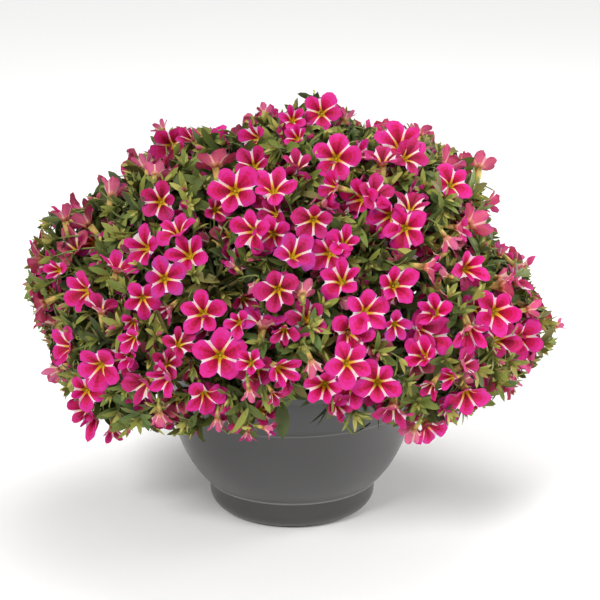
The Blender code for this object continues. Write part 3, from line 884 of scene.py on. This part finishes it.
def make_limbs():
    bark = young_bark()
    heights = np.linspace(SOIL_TOP - LIMB_SINK, TRUNK_TIP[2], TRUNK_STEPS)
    radii = [between(TRUNK_RADII, height - SOIL_TOP) for height in heights]
    bark_limb("trunk_bark", "trunk", [trunk_point(height) for height in heights], radii, bark)
    for index, name in enumerate(MASS_NAMES[1:], start=1):
        axis = MASS_AXES[index]
        upper = FOLIAGE[name][1] > UPPER_ELEVATION
        height = (UPPER_BOUGH_HEIGHTS if upper else LOWER_BOUGH_HEIGHTS)[index % 2]
        out = unit(axis * (1, 1, 0))
        start = trunk_point(height) + out * between(TRUNK_RADII, height - SOIL_TOP) * BOUGH_ROOT
        end = CROWN_CENTRE + axis * LIMB_START
        pull = np.linalg.norm(end - start) / 3
        points = cubic((start, start + out * pull, end - axis * pull, end), np.linspace(0, 1, BOUGH_STEPS))
        radii = np.linspace(BOUGH_RADIUS, STEM_RADIUS, BOUGH_STEPS)
        radii[0] *= BOUGH_COLLAR
        node = name.replace("foliage", "bough")
        bark_limb(node + "_bark", node, points, radii, bark)


# The crown's space

# Where along a ray the crown is looked for, counted from the camera's distance.
RAY_STEPS = np.arange(-0.3, 0.2, 0.001)[:, None]


def crown_reach(ways):
    """How far the crown reaches from its centre in each direction. Each mass bulges round its own middle, and
    the crown draws in below the level of its centre."""
    cosines = ways @ MASS_AXES.T
    off_axis = np.arccos(np.clip(cosines.max(axis=1), -1, 1))
    undercut = 1 - UNDERCUT * np.maximum(0, -ways[:, 2])
    return MASS_REACH[cosines.argmax(axis=1)] * (1 - BULGE * off_axis ** 2) * undercut


def crown_points(ways, insets):
    return CROWN_CENTRE + ways * (crown_reach(ways) - insets)[:, None]


def above_hem(points, below=0.0):
    """True above the underside of the crown, which runs from over the rim out to the hem."""
    azimuth = np.degrees(np.arctan2(points[:, 1], points[:, 0])) % 360
    rim = POT_HEIGHT + RIM_KEEP_OUT
    out = np.hypot(points[:, 0], points[:, 1]) - BOWL_RADIUS
    share = np.maximum(0, out) / (HEM_DISTANCE - BOWL_RADIUS)
    return points[:, 2] >= rim + (between(HEM, azimuth) - rim) * share - below


def clear_of_bowl(points):
    beside = np.hypot(points[:, 0], points[:, 1]) > BOWL_RADIUS + RIM_STEP + WALL_KEEP_OUT
    return beside | (points[:, 2] > POT_HEIGHT + RIM_KEEP_OUT)


def in_crown(points):
    offsets = points - CROWN_CENTRE
    distances = np.linalg.norm(offsets, axis=1)
    inside = distances < crown_reach(offsets / distances[:, None]) + MOST_REACH
    return inside & above_hem(points, BELOW_HEM) & clear_of_bowl(points)


def photo_points(pixels, insets):
    """Where the rays through these pixels get this deep into the crown, or come nearest to it."""
    right, rise, back = CAMERA_AXES
    found = []
    for (x, y), inset in zip(pixels, insets):
        ray = unit(right * (x - IMAGE_SIZE / 2) / FOCAL + rise * (IMAGE_SIZE / 2 - y) / FOCAL - back)
        points = CAMERA_PLACE + ray * (CAMERA_DISTANCE + RAY_STEPS)
        offsets = points - CROWN_CENTRE
        outside = np.linalg.norm(offsets, axis=1) - crown_reach(unit(offsets)) + inset
        hits = np.flatnonzero(outside < 0)
        found.append(points[hits[0] if len(hits) else outside.argmin()])
    return np.array(found)


def photo_pixels(points):
    """Where points show in the photograph, in pixels from the outline's middle, with y upwards."""
    offsets = (points - CAMERA_TARGET) @ CAMERA_AXES.T
    scale = FOCAL / (CAMERA_DISTANCE - offsets[:, 2])
    middle = np.array(OUTLINE_MIDDLE) - IMAGE_SIZE / 2
    return offsets[:, 0] * scale - middle[0], offsets[:, 1] * scale + middle[1]


def in_outline(points, overhang):
    """True where a point shows inside the outline, or no more than this many pixels outside it."""
    corners = (np.array(OUTLINE) - OUTLINE_MIDDLE) * (1, -1)
    angles = np.arctan2(corners[:, 1], corners[:, 0])
    x, y = photo_pixels(points)
    order = angles.argsort()
    reach = np.interp(np.arctan2(y, x), angles[order], np.hypot(*corners[order].T), period=2 * math.pi)
    return np.hypot(x, y) < reach + overhang


def drawn_in(ways, insets, margin):
    """The insets, made deeper where the outline needs it."""
    insets = np.array(insets)
    for _ in range(MOST_INSETS):
        outside = ~in_outline(crown_points(ways, insets), -margin)
        insets[outside] += INSET_STEP
    return insets


def cosine_apart(distance):
    """The cosine between two directions that are this far apart at the crown's surface."""
    return 1 - (distance / MASS_REACH.mean()) ** 2 / 2


def throw(first, spacing, tries, below_hem, rng, most_towards=1.0):
    """Directions for twig ends: the first ones, and more thrown at random where they lie well apart and don't
    point at the camera by more than a share."""
    kept = list(first)
    azimuths = rng.uniform(0, 360, tries)
    heights = rng.uniform(THROWN_FROM, 1, tries)
    ways = np.array([along(a, math.degrees(math.asin(h))) for a, h in zip(azimuths, heights)])
    points = crown_points(ways, np.full(tries, BLOOM_INSETS[1]))
    allowed = above_hem(points, below_hem) & clear_of_bowl(points) & (ways @ TO_CAMERA < most_towards)
    for way in ways[allowed]:
        if not kept or (np.array(kept) @ way).max() < cosine_apart(spacing):
            kept.append(way)
    return np.array(kept)


# Twigs, leaves and blooms

class Leaves:
    """The leaves of one kind, gathered as rows: root, way, face, length, aspect, droop and tone."""

    def __init__(self):
        self.rows = []

    def add(self, root, way, face, length, aspect, droop, tone):
        self.rows.append((*root, *way, *face, length, aspect, droop, tone))

    def shape(self):
        """The points of all the leaves. A leaf has left, rib and right at each station, and then its tip."""
        rows = np.array(self.rows)
        root, way, face = rows[:, 0:3], unit(rows[:, 3:6]), rows[:, 6:9]
        length, aspect, droop = rows[:, 9:10], rows[:, 10:11], rows[:, 11:12]
        side = unit(np.cross(way, face))
        face = np.cross(side, way)
        points = []
        for station, width in zip(LEAF_STATIONS, LEAF_WIDTHS):
            rib = root + way * length * station - face * droop * length * station ** 2
            half = length * aspect * width / 2
            edge = face * half * LEAF_FOLD
            points += [rib - side * half + edge, rib, rib + side * half + edge]
        points.append(root + way * length - face * droop * length)
        return np.stack(points, axis=1)


# Two faces from station to station, and two at the tip.
LEAF_FACES = []
for first in range(0, 9, 3):
    LEAF_FACES.append((first + 2, first + 5, first + 4, first + 1))
    LEAF_FACES.append((first + 1, first + 4, first + 3, first))
LEAF_FACES += [(11, 12, 10), (10, 12, 9)]


def ring_faces(start, count, rings, flipped=False):
    """The four-sided faces between rings of so many points, numbered ring by ring from the start. A flipped
    face keeps its first corner, so that the back of a petal is cut into the same triangles as its front."""
    faces = []
    for level in range(rings - 1):
        low, high = start + level * count, start + (level + 1) * count
        for i in range(count):
            after = (i + 1) % count
            face = (low + i, high + i, high + after, low + after)
            faces.append(face[:1] + face[:0:-1] if flipped else face)
    return faces


def rod(heap, points, radii, sides):
    """A bent tapering rod through these points, open at its ends, which lie inside what it joins."""
    points = np.asarray(points)
    ring = ring_round(unit(points[-1] - points[0]), sides)
    shell = points[:, None, :] + ring[None, :, :] * np.asarray(radii)[:, None, None]
    faces = ring_faces(0, sides, len(points))
    heap.add(shell.reshape(-1, 3), faces, [0] * len(faces))


def bent(start, middle, end, steps):
    """Points on a curve that leaves its start towards the middle and comes to its end from there."""
    t = np.linspace(0, 1, steps)[:, None]
    return start * (1 - t) ** 2 + 2 * middle * t * (1 - t) + end * t * t


def grow_twig(twigs, start, middle, end, radii, count, sides):
    """A bent twig through so many points, from one radius to the other. Returns its course."""
    course = bent(start, middle, end, count)
    rod(twigs, course, np.linspace(*radii, count), sides)
    return course


def add_leaf(leaves, root, axis, turn, lean, length, aspect, tone, rng):
    """One leaf beside an axis: it leans out from the axis at its turn round it, and faces the axis's tip."""
    side, rise = across(axis)
    out = side * math.cos(turn) + rise * math.sin(turn)
    lean += rng.normal(0, LEAN_SPREAD)
    way = axis * math.cos(lean) + out * math.sin(lean) + rng.normal(0, WAY_SPREAD, 3)
    face = axis * math.sin(lean) - out * math.cos(lean) + rng.normal(0, FACE_SPREAD, 3)
    aspect *= rng.uniform(*ASPECT_SPREAD)
    leaves.add(root, way, face, length, aspect, rng.uniform(*LEAF_DROOP), tone)


def grow_branches(twigs, old, rng):
    """The stem and the branches of each mass. Returns the way and the course of each branch."""
    branches = []
    ways = throw(MASS_AXES, BRANCH_SPACING, BRANCH_TRIES, BRANCH_HEM, rng)
    owners = (ways @ MASS_AXES.T).argmax(axis=1)
    for owner, axis in enumerate(MASS_AXES):
        start = CROWN_CENTRE + axis * (LIMB_START - STEM_SINK)
        heart = CROWN_CENTRE + axis * STEM_TIP
        rod(twigs, (start, heart), (STEM_RADIUS, BRANCH_RADII[0]), STEM_SIDES)
        for way in ways[owners == owner]:
            end = CROWN_CENTRE + way * BRANCH_TIP
            course = grow_twig(twigs, heart - axis * BRANCH_SINK, heart + axis * BRANCH_PULL, end,
                               BRANCH_RADII, BRANCH_POINTS, BRANCH_SIDES)
            branches.append((way, course))
            for i in range(BRANCH_LEAVES):
                root = course[1 + i % (BRANCH_POINTS - 1)]
                length = rng.uniform(*BRANCH_LEAF_LENGTHS)
                add_leaf(old, root, unit(course[-1] - course[0]), i * GOLDEN_TURN, BRANCH_LEAF_LEAN, length,
                         LEAF_ASPECT, 0, rng)
    return branches


def grow_shoot(twigs, old, young, start, tip, raised, rng):
    """A leafy shoot: old leaves along it in a spiral, and a tuft of young ones at its tip."""
    way = unit(tip - start)
    arch = UP * SHOOT_ARCH * (1 - abs(way[2])) + rng.normal(0, SHOOT_WANDER, 3)
    middle = (start + tip) / 2 + arch
    course = grow_twig(twigs, start, middle, tip, SHOOT_RADII, SHOOT_POINTS, SHOOT_SIDES)
    axis = unit(course[-1] - course[-3])
    turn = rng.uniform(0, 2 * math.pi)
    liking = rng.choice(len(LEAF_SHARES), p=LEAF_SHARES)
    for i in range(SHOOT_LEAVES):
        share = FIRST_LEAF + LEAFY_SHARE * i / (SHOOT_LEAVES - 1)
        place = share * (SHOOT_POINTS - 1)
        root = np.array([np.interp(place, range(SHOOT_POINTS), line) for line in course.T])
        shrunk = OLD_SHRINK * max(0, share - SHRINK_FROM) / SHRINK_SPAN
        length = rng.uniform(*OLD_LENGTHS) * (1 - shrunk)
        lean = OLD_LEAN - OLD_LEAN_LOSS * share
        tone = liking if share > SHADED_SHARE else 0
        add_leaf(old, root, axis, turn + i * GOLDEN_TURN, lean, length, LEAF_ASPECT, tone, rng)
    size = rng.uniform(*RAISED_SIZES) if raised else SUNK_SIZE
    pale = rng.integers(0, PALE_STEPS)
    turn += SHOOT_LEAVES * GOLDEN_TURN
    for i in range(TIP_LEAVES):
        share = i / (TIP_LEAVES - 1)
        root = course[-1] - axis * TIP_SPAN * (1 - share)
        length = size * (YOUNG_LENGTH - YOUNG_LENGTH_LOSS * share)
        lean = YOUNG_LEAN - YOUNG_LEAN_LOSS * share
        tone = int(min(YOUNGEST_TONE, share * YOUNGEST_TONE + pale * PALE_STEP))
        add_leaf(young, root, axis, turn + i * GOLDEN_TURN, lean, length, YOUNG_ASPECT, tone, rng)
    return course, axis


def grow_filler(old, rng):
    """Shaded leaves inside the crown, where the light doesn't reach, so that nobody looks through it."""
    ways = unit(rng.normal(0, 1, (FILLER_LEAVES, 3)))
    roots = crown_points(ways, rng.uniform(*FILLER_DEPTH, FILLER_LEAVES))
    inside = above_hem(roots, -FILLER_ABOVE_HEM)
    for way, root in zip(ways[inside], roots[inside]):
        face = way + rng.normal(0, FILLER_FACE_SPREAD, 3)
        leaf_way = rng.normal(0, 1, 3)
        old.add(root, leaf_way, face, rng.uniform(*FILLER_LENGTHS), FILLER_ASPECT, FILLER_DROOP, 0)


def lobe_flare(end_angle, curl):
    """How a lobe opens: its radius and its height along the axis, at each step of its length."""
    steps = np.arange(0, PETAL_LENGTH * FLARE_OVERRUN, PETAL_LENGTH / FLARE_STEPS)
    angles = MOUTH_ANGLE + (end_angle - MOUTH_ANGLE) * (1 - np.exp(-steps / FLARE_LENGTH))
    angles += curl * np.clip((steps / PETAL_LENGTH - CURL_START) / (1 - CURL_START), 0, 1)
    stride = steps[1] - steps[0]
    radius = MOUTH_RADIUS + np.concatenate(([0], np.cumsum(np.sin(np.radians(angles[:-1])) * stride)))
    height = np.concatenate(([0], np.cumsum(np.cos(np.radians(angles[:-1])) * stride)))
    return steps, radius, height


def bloom_points(angles, rng):
    """The corona of one bloom, looking along +Z: rows of points from the mouth to the rim. Each lobe opens,
    curls and is as long as chance has it, and a seam takes the mean of its two lobes."""
    opening = rng.uniform(*angles) + rng.normal(0, LOBE_LEAN, LOBES)
    curl = rng.normal(*RIM_CURL, LOBES)
    stretch = PETAL_LENGTH * (1 + rng.normal(0, LOBE_STRETCH, LOBES))
    blunt = rng.uniform(*LOBE_BLUNTNESS, LOBES)
    skew = rng.normal(0, LOBE_SKEW, LOBES)
    twist = rng.normal(0, LOBE_TWIST, LOBES)
    seam_reach = rng.uniform(*SEAM_REACH)
    traits = np.stack((opening, curl, stretch))
    seam_traits = (traits + np.roll(traits, 1, axis=1)) / 2
    shares = np.array(ROW_SHARES)
    seam, border = -COLUMN_ANGLES[0], -COLUMN_ANGLES[1]
    columns = []
    for lobe in range(LOBES):
        for angle in COLUMN_ANGLES:
            on_seam = -angle == seam
            off = angle / seam
            end_angle, turn_back, length = (seam_traits if on_seam else traits)[:, lobe]
            reach = 1 - (1 - seam_reach) * abs(off) ** blunt[lobe]
            if not on_seam:
                reach *= 1 + skew[lobe] * off + rng.normal(0, RAGGED_EDGE)
            steps, radius, height = lobe_flare(end_angle, turn_back)
            places = shares * length * reach
            r = np.interp(places, steps, radius)
            z = np.interp(places, steps, height) - (PLEAT * off ** 2 + CREASE * (off == 0)) * places / length
            ruffle = rng.normal(0, RUFFLE) * (shares > RUFFLED_FROM)
            z += twist[lobe] * off * shares ** 2 * (not on_seam) + ruffle
            narrowed = (seam - np.degrees(STRIPE_HALF_WIDTHS / r)) / border
            a = np.radians(LOBE_TURN * lobe + angle * (1 if on_seam else narrowed))
            columns.append(np.stack((r * np.cos(a), r * np.sin(a), z), axis=1))
    rows = np.stack(columns, axis=1)
    rows[:, :, 2] -= rows[LEVEL_ROW, :, 2].mean()
    return rows


def lobe_finishes(rows):
    """The finish of each front or back face, row by row. A seam's column borders it on both of its lobes."""
    finishes = []
    for row in rows:
        finishes += (row + row[::-1]) * LOBES
    return finishes


# A bloom's points: the front's rows, the back's, the throat, the tube's rings, and the pistil.
AROUND = LOBES * COLUMNS
FRONT_POINTS = AROUND * len(ROW_SHARES)
BACK_POINTS = AROUND * len(BACK_ROWS)

# The same as LOBE_ROWS for the back, which has fewer rows.
BACK_FINISHES = (
    ("tube_salmon", "tube_salmon", "tube_salmon", "tube_salmon"),
    ("petal_back_seam", "petal_back", "petal_back", "petal_back"),
    ("petal_back_seam", "petal_back", "petal_back", "petal_back"),
    ("petal_back_seam", "petal_back_rim", "petal_back_rim", "petal_back"),
)


def bloom_faces():
    """The faces of a bloom and the finish of each: front, back, throat, tube and pistil."""
    faces = ring_faces(0, AROUND, len(ROW_SHARES))
    finishes = lobe_finishes(LOBE_ROWS)
    faces += ring_faces(FRONT_POINTS, AROUND, len(BACK_ROWS), flipped=True)
    finishes += lobe_finishes(BACK_FINISHES)
    throat = FRONT_POINTS + BACK_POINTS
    for i in range(AROUND):
        faces.append((throat, i, (i + 1) % AROUND))
        finishes.append("throat_gold" if i % COLUMNS in (0, COLUMNS - 1) else "throat_olive")
    tube = throat + 1
    for i in range(AROUND):
        lobe, after = i // COLUMNS, (i + 1) % AROUND
        faces.append((FRONT_POINTS + i, FRONT_POINTS + after, tube + lobe))
        finishes.append("tube_straw")
        if after % COLUMNS == 0:
            faces.append((FRONT_POINTS + after, tube + after // COLUMNS, tube + lobe))
            finishes.append("tube_straw")
    faces += ring_faces(tube, LOBES, len(TUBE_RADII), flipped=True)
    finishes += ["tube_green"] * LOBES
    pistil = tube + 2 * LOBES
    for i in range(LOBES):
        faces.append((pistil + LOBES, pistil + i, pistil + (i + 1) % LOBES))
        finishes.append("throat_gold")
    return faces, finishes


BLOOM_FACES, BLOOM_FINISHES = bloom_faces()


def bloom_shape(angles, size, rng):
    """All the points of a bloom, and where its tube ends."""
    rows = bloom_points(angles, rng)
    mouth = rows[0, :, 2].mean()
    back = rows[list(BACK_ROWS)].copy()
    back[:, :, 2] -= PETAL_THICKNESS
    back[0, :, :2] *= BACK_MOUTH
    lobe_turns = np.radians(LOBE_TURN * np.arange(LOBES))
    ring = np.stack((np.cos(lobe_turns), np.sin(lobe_turns), np.zeros(LOBES)), axis=1)
    tube = [ring * radius + (0, 0, mouth - TUBE_LENGTH * share)
            for radius, share in zip(TUBE_RADII, TUBE_SHARES)]
    throat = np.array([(0, 0, mouth - THROAT_DEPTH)])
    pistil = ring * PISTIL_RADIUS + (0, 0, mouth - PISTIL_FOOT)
    top = np.array([(0, 0, mouth - PISTIL_TOP)])
    parts = [rows.reshape(-1, 3), back.reshape(-1, 3), throat] + tube + [pistil, top]
    return np.concatenate(parts) * size, (mouth - TUBE_LENGTH) * size


def placed(points, place, axis, turn):
    """Points moved to a place, with their Z axis along this one and turned round it."""
    side, rise = across(axis)
    first = side * math.cos(turn) + rise * math.sin(turn)
    second = np.cross(axis, first)
    return place + points @ np.stack((first, second, axis))


def add_sepals(young, base, axis, size, rng):
    for i in range(SEPALS):
        add_leaf(young, base, axis, 2 * math.pi * i / SEPALS, SEPAL_LEAN, SEPAL_LENGTH * size, SEPAL_ASPECT,
                 SEPAL_TONE, rng)


def bloom_places(ways, radii):
    """Where the blooms stand. One that overlaps an earlier one is set further in, so that it lies behind it.
    One that reaches behind its throat is set in further still, so that it doesn't show in the throat."""
    pixels = [row[:2] for row in SEEN_BLOOMS]
    seen = len(pixels)
    insets = []
    for i, way in enumerate(ways):
        apart = np.arccos(np.clip(ways[:i] @ way, -1, 1)) * MASS_REACH.mean()
        near = np.flatnonzero(apart < BLOOM_OVERLAP * (radii[:i] + radii[i]))
        taken = np.array(insets)[near]
        steps = np.where(apart[near] < DEEP_OVERLAP * radii[i], DEEP_STEP, BLOOM_STEP)
        free = [inset for inset in BLOOM_INSETS if (np.abs(taken - inset) > steps).all()]
        insets.append(free[0] if free else BLOOM_INSETS[i % len(BLOOM_INSETS)])
    more = crown_points(ways[seen:], drawn_in(ways[seen:], insets[seen:], BLOOM_MARGIN))
    return np.concatenate((photo_points(pixels, insets), more))


def plan_blooms(rng):
    """Each bloom's way from the crown's centre, facing, radius and petal kind. The seen ones are first."""
    seen = np.array(SEEN_BLOOMS)
    points = photo_points(seen[:, :2], np.full(len(seen), BLOOM_INSETS[1]))
    facings = unit(seen[:, 2:5] @ CAMERA_AXES + rng.normal(0, SEEN_FACING_SPREAD, (len(seen), 3)))
    radii = seen[:, 5] * np.linalg.norm(points - CAMERA_PLACE, axis=1) / FOCAL
    ways = throw(unit(points - CROWN_CENTRE), BLOOM_SPACING, BLOOM_TRIES, BLOOM_HEM, rng, MOST_TOWARDS_CAMERA)
    more = len(ways) - len(seen)
    facings = np.concatenate((facings, unit(ways[len(seen):] + rng.normal(0, FACING_SPREAD, (more, 3)))))
    radii = np.concatenate((radii, rng.triangular(BLOOM_RADII[0], BLOOM_RADII[1], BLOOM_RADII[1], more)))
    kinds = list(rng.choice(OPEN_KINDS, len(ways), p=[PETAL_KINDS[name][1] for name in OPEN_KINDS]))
    # A large seen bloom stands in front, so it keeps the lit magenta and never the deep kind's painted shade.
    for index, row in enumerate(SEEN_BLOOMS):
        if row[:2] in SEEN_VIOLET:
            kinds[index] = "violet"
        elif kinds[index] == "violet" or row[5] >= LARGE_BLOOM:
            kinds[index] = "magenta"
    return ways, facings, radii, kinds


def plan_inner_blooms(rng):
    """Smaller blooms that the leaves half hide, most in the deep kind's painted shade and some spent, as a
    plan and the places that go with it.
    """
    ways = throw([], INNER_SPACING, INNER_TRIES, BLOOM_HEM, rng)
    facings = unit(ways + rng.normal(0, INNER_FACING_SPREAD, ways.shape))
    radii = rng.uniform(*INNER_RADII, len(ways))
    insets = drawn_in(ways, rng.uniform(*INNER_DEPTH, len(ways)), BLOOM_MARGIN)
    return (ways, facings, radii, list(rng.choice(INNER_KINDS, len(ways)))), crown_points(ways, insets)


def bloom_tones(kind, rng):
    """The finish of each face of a bloom. Down its front run streaks a tint lighter or darker, like veins."""
    own = SPENT_FINISHES if kind == "spent" else {}
    streaks = rng.integers(-1, 2, AROUND)
    tones = []
    for face, finish in enumerate(BLOOM_FINISHES):
        if isinstance(finish, int):
            tint = min(max(finish + streaks[face % AROUND], 0), TINTS - 1)
            finish = f"petal_{kind}_{tint}"
        tones.append(PETAL_TONES[own.get(finish, finish)])
    return tones


def grow_blooms(blossoms, twigs, young, plan, places, courses, tip_ways, rng):
    """The blooms, each at its place, on a stalk from the shoot whose tip is nearest."""
    for index, (way, axis, radius, kind) in enumerate(zip(*plan)):
        half_open = radius < HALF_OPEN_RADIUS or rng.random() < HALF_OPEN_SHARE
        size = radius / OPEN_RADIUS
        points, foot = bloom_shape(HALF_OPEN_ANGLE if half_open else OPEN_ANGLE, size, rng)
        points = placed(points, places[index], axis, rng.uniform(0, 2 * math.pi))
        blossoms[index % len(blossoms)].add(points, BLOOM_FACES, bloom_tones(kind, rng))
        base = places[index] + axis * foot
        start = courses[(tip_ways @ way).argmax()][STALK_START]
        grow_twig(twigs, start, base - axis * STALK_PULL, base + axis * STALK_SINK,
                  STALK_RADII, STALK_POINTS, STALK_SIDES)
        add_sepals(young, base - axis * SEPAL_SINK, axis, max(size, LEAST_SEPALS), rng)


def grow_bud(buds, young, place, axis, size, rng):
    """A closed bud: a slim club, green at its foot and dusty pink above, in its sepals."""
    ring = ring_round(axis, BUD_SIDES)
    points = [place + axis * along_it * size + ring * radius * size for along_it, radius in BUD_PROFILE]
    points.append(place[None, :] + axis * BUD_PROFILE[-1][0] * size * BUD_POINT)
    faces = ring_faces(0, BUD_SIDES, len(BUD_PROFILE), flipped=True)
    tip = BUD_SIDES * len(BUD_PROFILE)
    faces += [(tip, tip - BUD_SIDES + i, tip - BUD_SIDES + (i + 1) % BUD_SIDES) for i in range(BUD_SIDES)]
    green = BUD_GREEN_RINGS * BUD_SIDES
    tones = [PETAL_TONES["tube_green"]] * green + [PETAL_TONES["bud_pink"]] * (len(faces) - green)
    buds.add(np.concatenate(points), faces, tones)
    add_sepals(young, place, axis, size * BUD_SEPALS, rng)


def before_bloom(point, places, axes, radii):
    """True for a point that stands in front of a bloom's face."""
    offsets = point - places
    height = (offsets * axes).sum(axis=1)
    beside = np.linalg.norm(offsets - height[:, None] * axes, axis=1)
    return ((beside < radii) & (height > FACE_SPACE[0]) & (height < FACE_SPACE[1])).any()


def clear_of_blooms(shapes, places, axes, radii):
    """False for a leaf that cuts through a bloom's face or stands right in front of it."""
    free = np.ones(len(shapes), bool)
    middles = shapes[:, LEAF_MIDDLE]
    for place, axis, radius in zip(places, axes, radii):
        near = np.flatnonzero((((middles - place) ** 2).sum(axis=1) < NEAR_BLOOM ** 2) & free)
        offsets = shapes[near] - place
        height = offsets @ axis
        beside = np.linalg.norm(offsets - height[:, :, None] * axis, axis=2)
        cuts = ((beside < CUT_SHARE * radius) & (np.abs(height + CUT_LEVEL) < CUT_DEPTH)).any(axis=1)
        within = beside < CROSS_SHARE * radius
        crosses = (within & (height > 0)).any(axis=1) & (within & (height < 0)).any(axis=1)
        hides = ((beside < HIDE_SHARE * radius) & (height > 0)).any(axis=1)
        free[near[cuts | crosses | hides]] = False
    return free


def leaf_piece(name, leaves, finishes, blooms):
    """Join the leaves of a kind that have room: inside the crown, clear of the bowl and of the blooms."""
    shapes = leaves.shape()
    tones = np.array(leaves.rows)[:, -1].astype(int)
    points = shapes.reshape(-1, 3)
    inside = (in_crown(points) & in_outline(points, LEAF_OVERHANG)).reshape(len(shapes), -1).all(axis=1)
    kept = inside & clear_of_blooms(shapes, *blooms)
    heap = Heap()
    for points, tone in zip(shapes[kept], tones[kept]):
        heap.add(points, LEAF_FACES, [int(tone)] * len(LEAF_FACES))
    return heap.build(name, [leaf_skin(finish, colour) for finish, colour in finishes.items()])


def plan_tips(bloom_ways, rng):
    """The shoots' ways and tips, and which are sunk because a bloom covers them. The seen ones are first."""
    seen = photo_points(SEEN_TIPS, rng.uniform(*RAISED_TIP, len(SEEN_TIPS)))
    ways = throw(unit(seen - CROWN_CENTRE), SHOOT_SPACING, SHOOT_TRIES, SHOOT_HEM, rng)
    sunk = (ways @ bloom_ways.T).max(axis=1) > cosine_apart(BLOOM_CLEARING)
    sunk[:len(seen)] = False
    insets = np.where(sunk, rng.uniform(*SUNK_TIP, len(ways)), rng.uniform(*RAISED_TIP, len(ways)))
    tips = crown_points(ways, drawn_in(ways, insets, TIP_MARGIN))
    tips[:len(seen)] = seen
    return ways, tips, sunk


def grow_shoots(twigs, buds, old, young, branches, shoots, blooms, rng):
    """A shoot to each tip from the branch nearest to it, and a bud on some. Returns each shoot's course."""
    branch_ways = np.array([way for way, _ in branches])
    courses = []
    for way, tip, sunk in zip(*shoots):
        branch = branches[(branch_ways @ way).argmax()][1]
        start = branch[rng.integers(*SHOOT_STARTS)]
        course, axis = grow_shoot(twigs, old, young, start, tip, not sunk, rng)
        courses.append(course)
        lean = unit(axis + rng.normal(0, BUD_LEAN_SPREAD, 3))
        budding = not sunk and rng.random() < BUD_SHARE
        if budding and not before_bloom(tip + lean * BUD_REACH, *blooms):
            grow_bud(buds, young, tip - lean * BUD_SINK, lean, rng.uniform(*BUD_SIZES), rng)
    return courses


def grow_crown():
    rng = np.random.default_rng(SEED)
    twigs, buds = Heap(), Heap()
    blossoms = [Heap() for _ in range(BLOSSOM_PIECES)]
    old, young = Leaves(), Leaves()
    branches = grow_branches(twigs, old, rng)
    plan = plan_blooms(rng)
    bloom_ways, facings, radii, _ = plan
    places = bloom_places(bloom_ways, radii)
    blooms = places, facings, radii
    shoots = plan_tips(bloom_ways, rng)
    courses = grow_shoots(twigs, buds, old, young, branches, shoots, blooms, rng)
    grow_blooms(blossoms, twigs, young, plan, places, courses, shoots[0], rng)
    grow_blooms(blossoms, twigs, young, *plan_inner_blooms(rng), courses, shoots[0], rng)
    grow_filler(old, rng)

    petals = [petal_skin(name, colour) for name, colour in PETALS.items()]
    keep(leaf_piece("leaves", old, OLD_LEAVES, blooms), "leaves_and_blossom", *MASS_NAMES)
    keep(leaf_piece("young_leaves", young, YOUNG_LEAVES, blooms), "leaves_and_blossom")
    for number, heap in enumerate(blossoms, start=1):
        keep(heap.build(f"blossoms_{number}", petals), "leaves_and_blossom")
    keep(buds.build("buds", petals), "leaves_and_blossom")
    keep(twigs.build("twigs", [leaf_skin("green_stalk", STALK_COLOUR)]), "stem_bark")


# The studio

def make_floor():
    """A plain pale floor, wide enough to fill the view."""
    deselect()
    bpy.ops.mesh.primitive_plane_add(size=FLOOR_SIZE)
    floor = bpy.context.object
    floor.name = "studio_floor"
    material, shader = new_material("matt_white_paint", "fbfbfa", roughness=0.9)
    grain(material, shader, size=0.05, depth=0.0005)
    floor.data.materials.append(material)


def add_light(name, kind, place, width, power):
    """A light that looks at the middle of the plant. A sun lights the floor evenly out to the horizon."""
    light = bpy.data.lights.new(name, kind)
    if kind == "SUN":
        light.angle = width
    else:
        light.size = width
    light.energy = power
    obj = add_object(name, light)
    obj.location = place
    obj.rotation_euler = (Vector(CAMERA_TARGET) - obj.location).to_track_quat("-Z", "Y").to_euler()


def make_studio():
    scene = bpy.context.scene
    scene.view_settings.view_transform = "Standard"
    make_floor()
    for name, settings in LIGHTS.items():
        add_light(name, *settings)
    world = bpy.data.worlds.new("soft_studio_air")
    world.use_nodes = True
    world.node_tree.nodes["Background"].inputs["Color"].default_value = 1, 1, 1, 1
    world.node_tree.nodes["Background"].inputs["Strength"].default_value = AIR_STRENGTH
    scene.world = world


def make_camera():
    camera = bpy.data.cameras.new("photo_camera")
    camera.lens = LENS
    camera.sensor_width = SENSOR
    obj = add_object("photo_camera", camera)
    obj.location = CAMERA_PLACE
    obj.rotation_euler = (math.radians(90 - CAMERA_ELEVATION), 0, 0)
    bpy.context.scene.camera = obj


make_camera()
make_studio()
make_bowl()
make_soil()
make_limbs()
grow_crown()
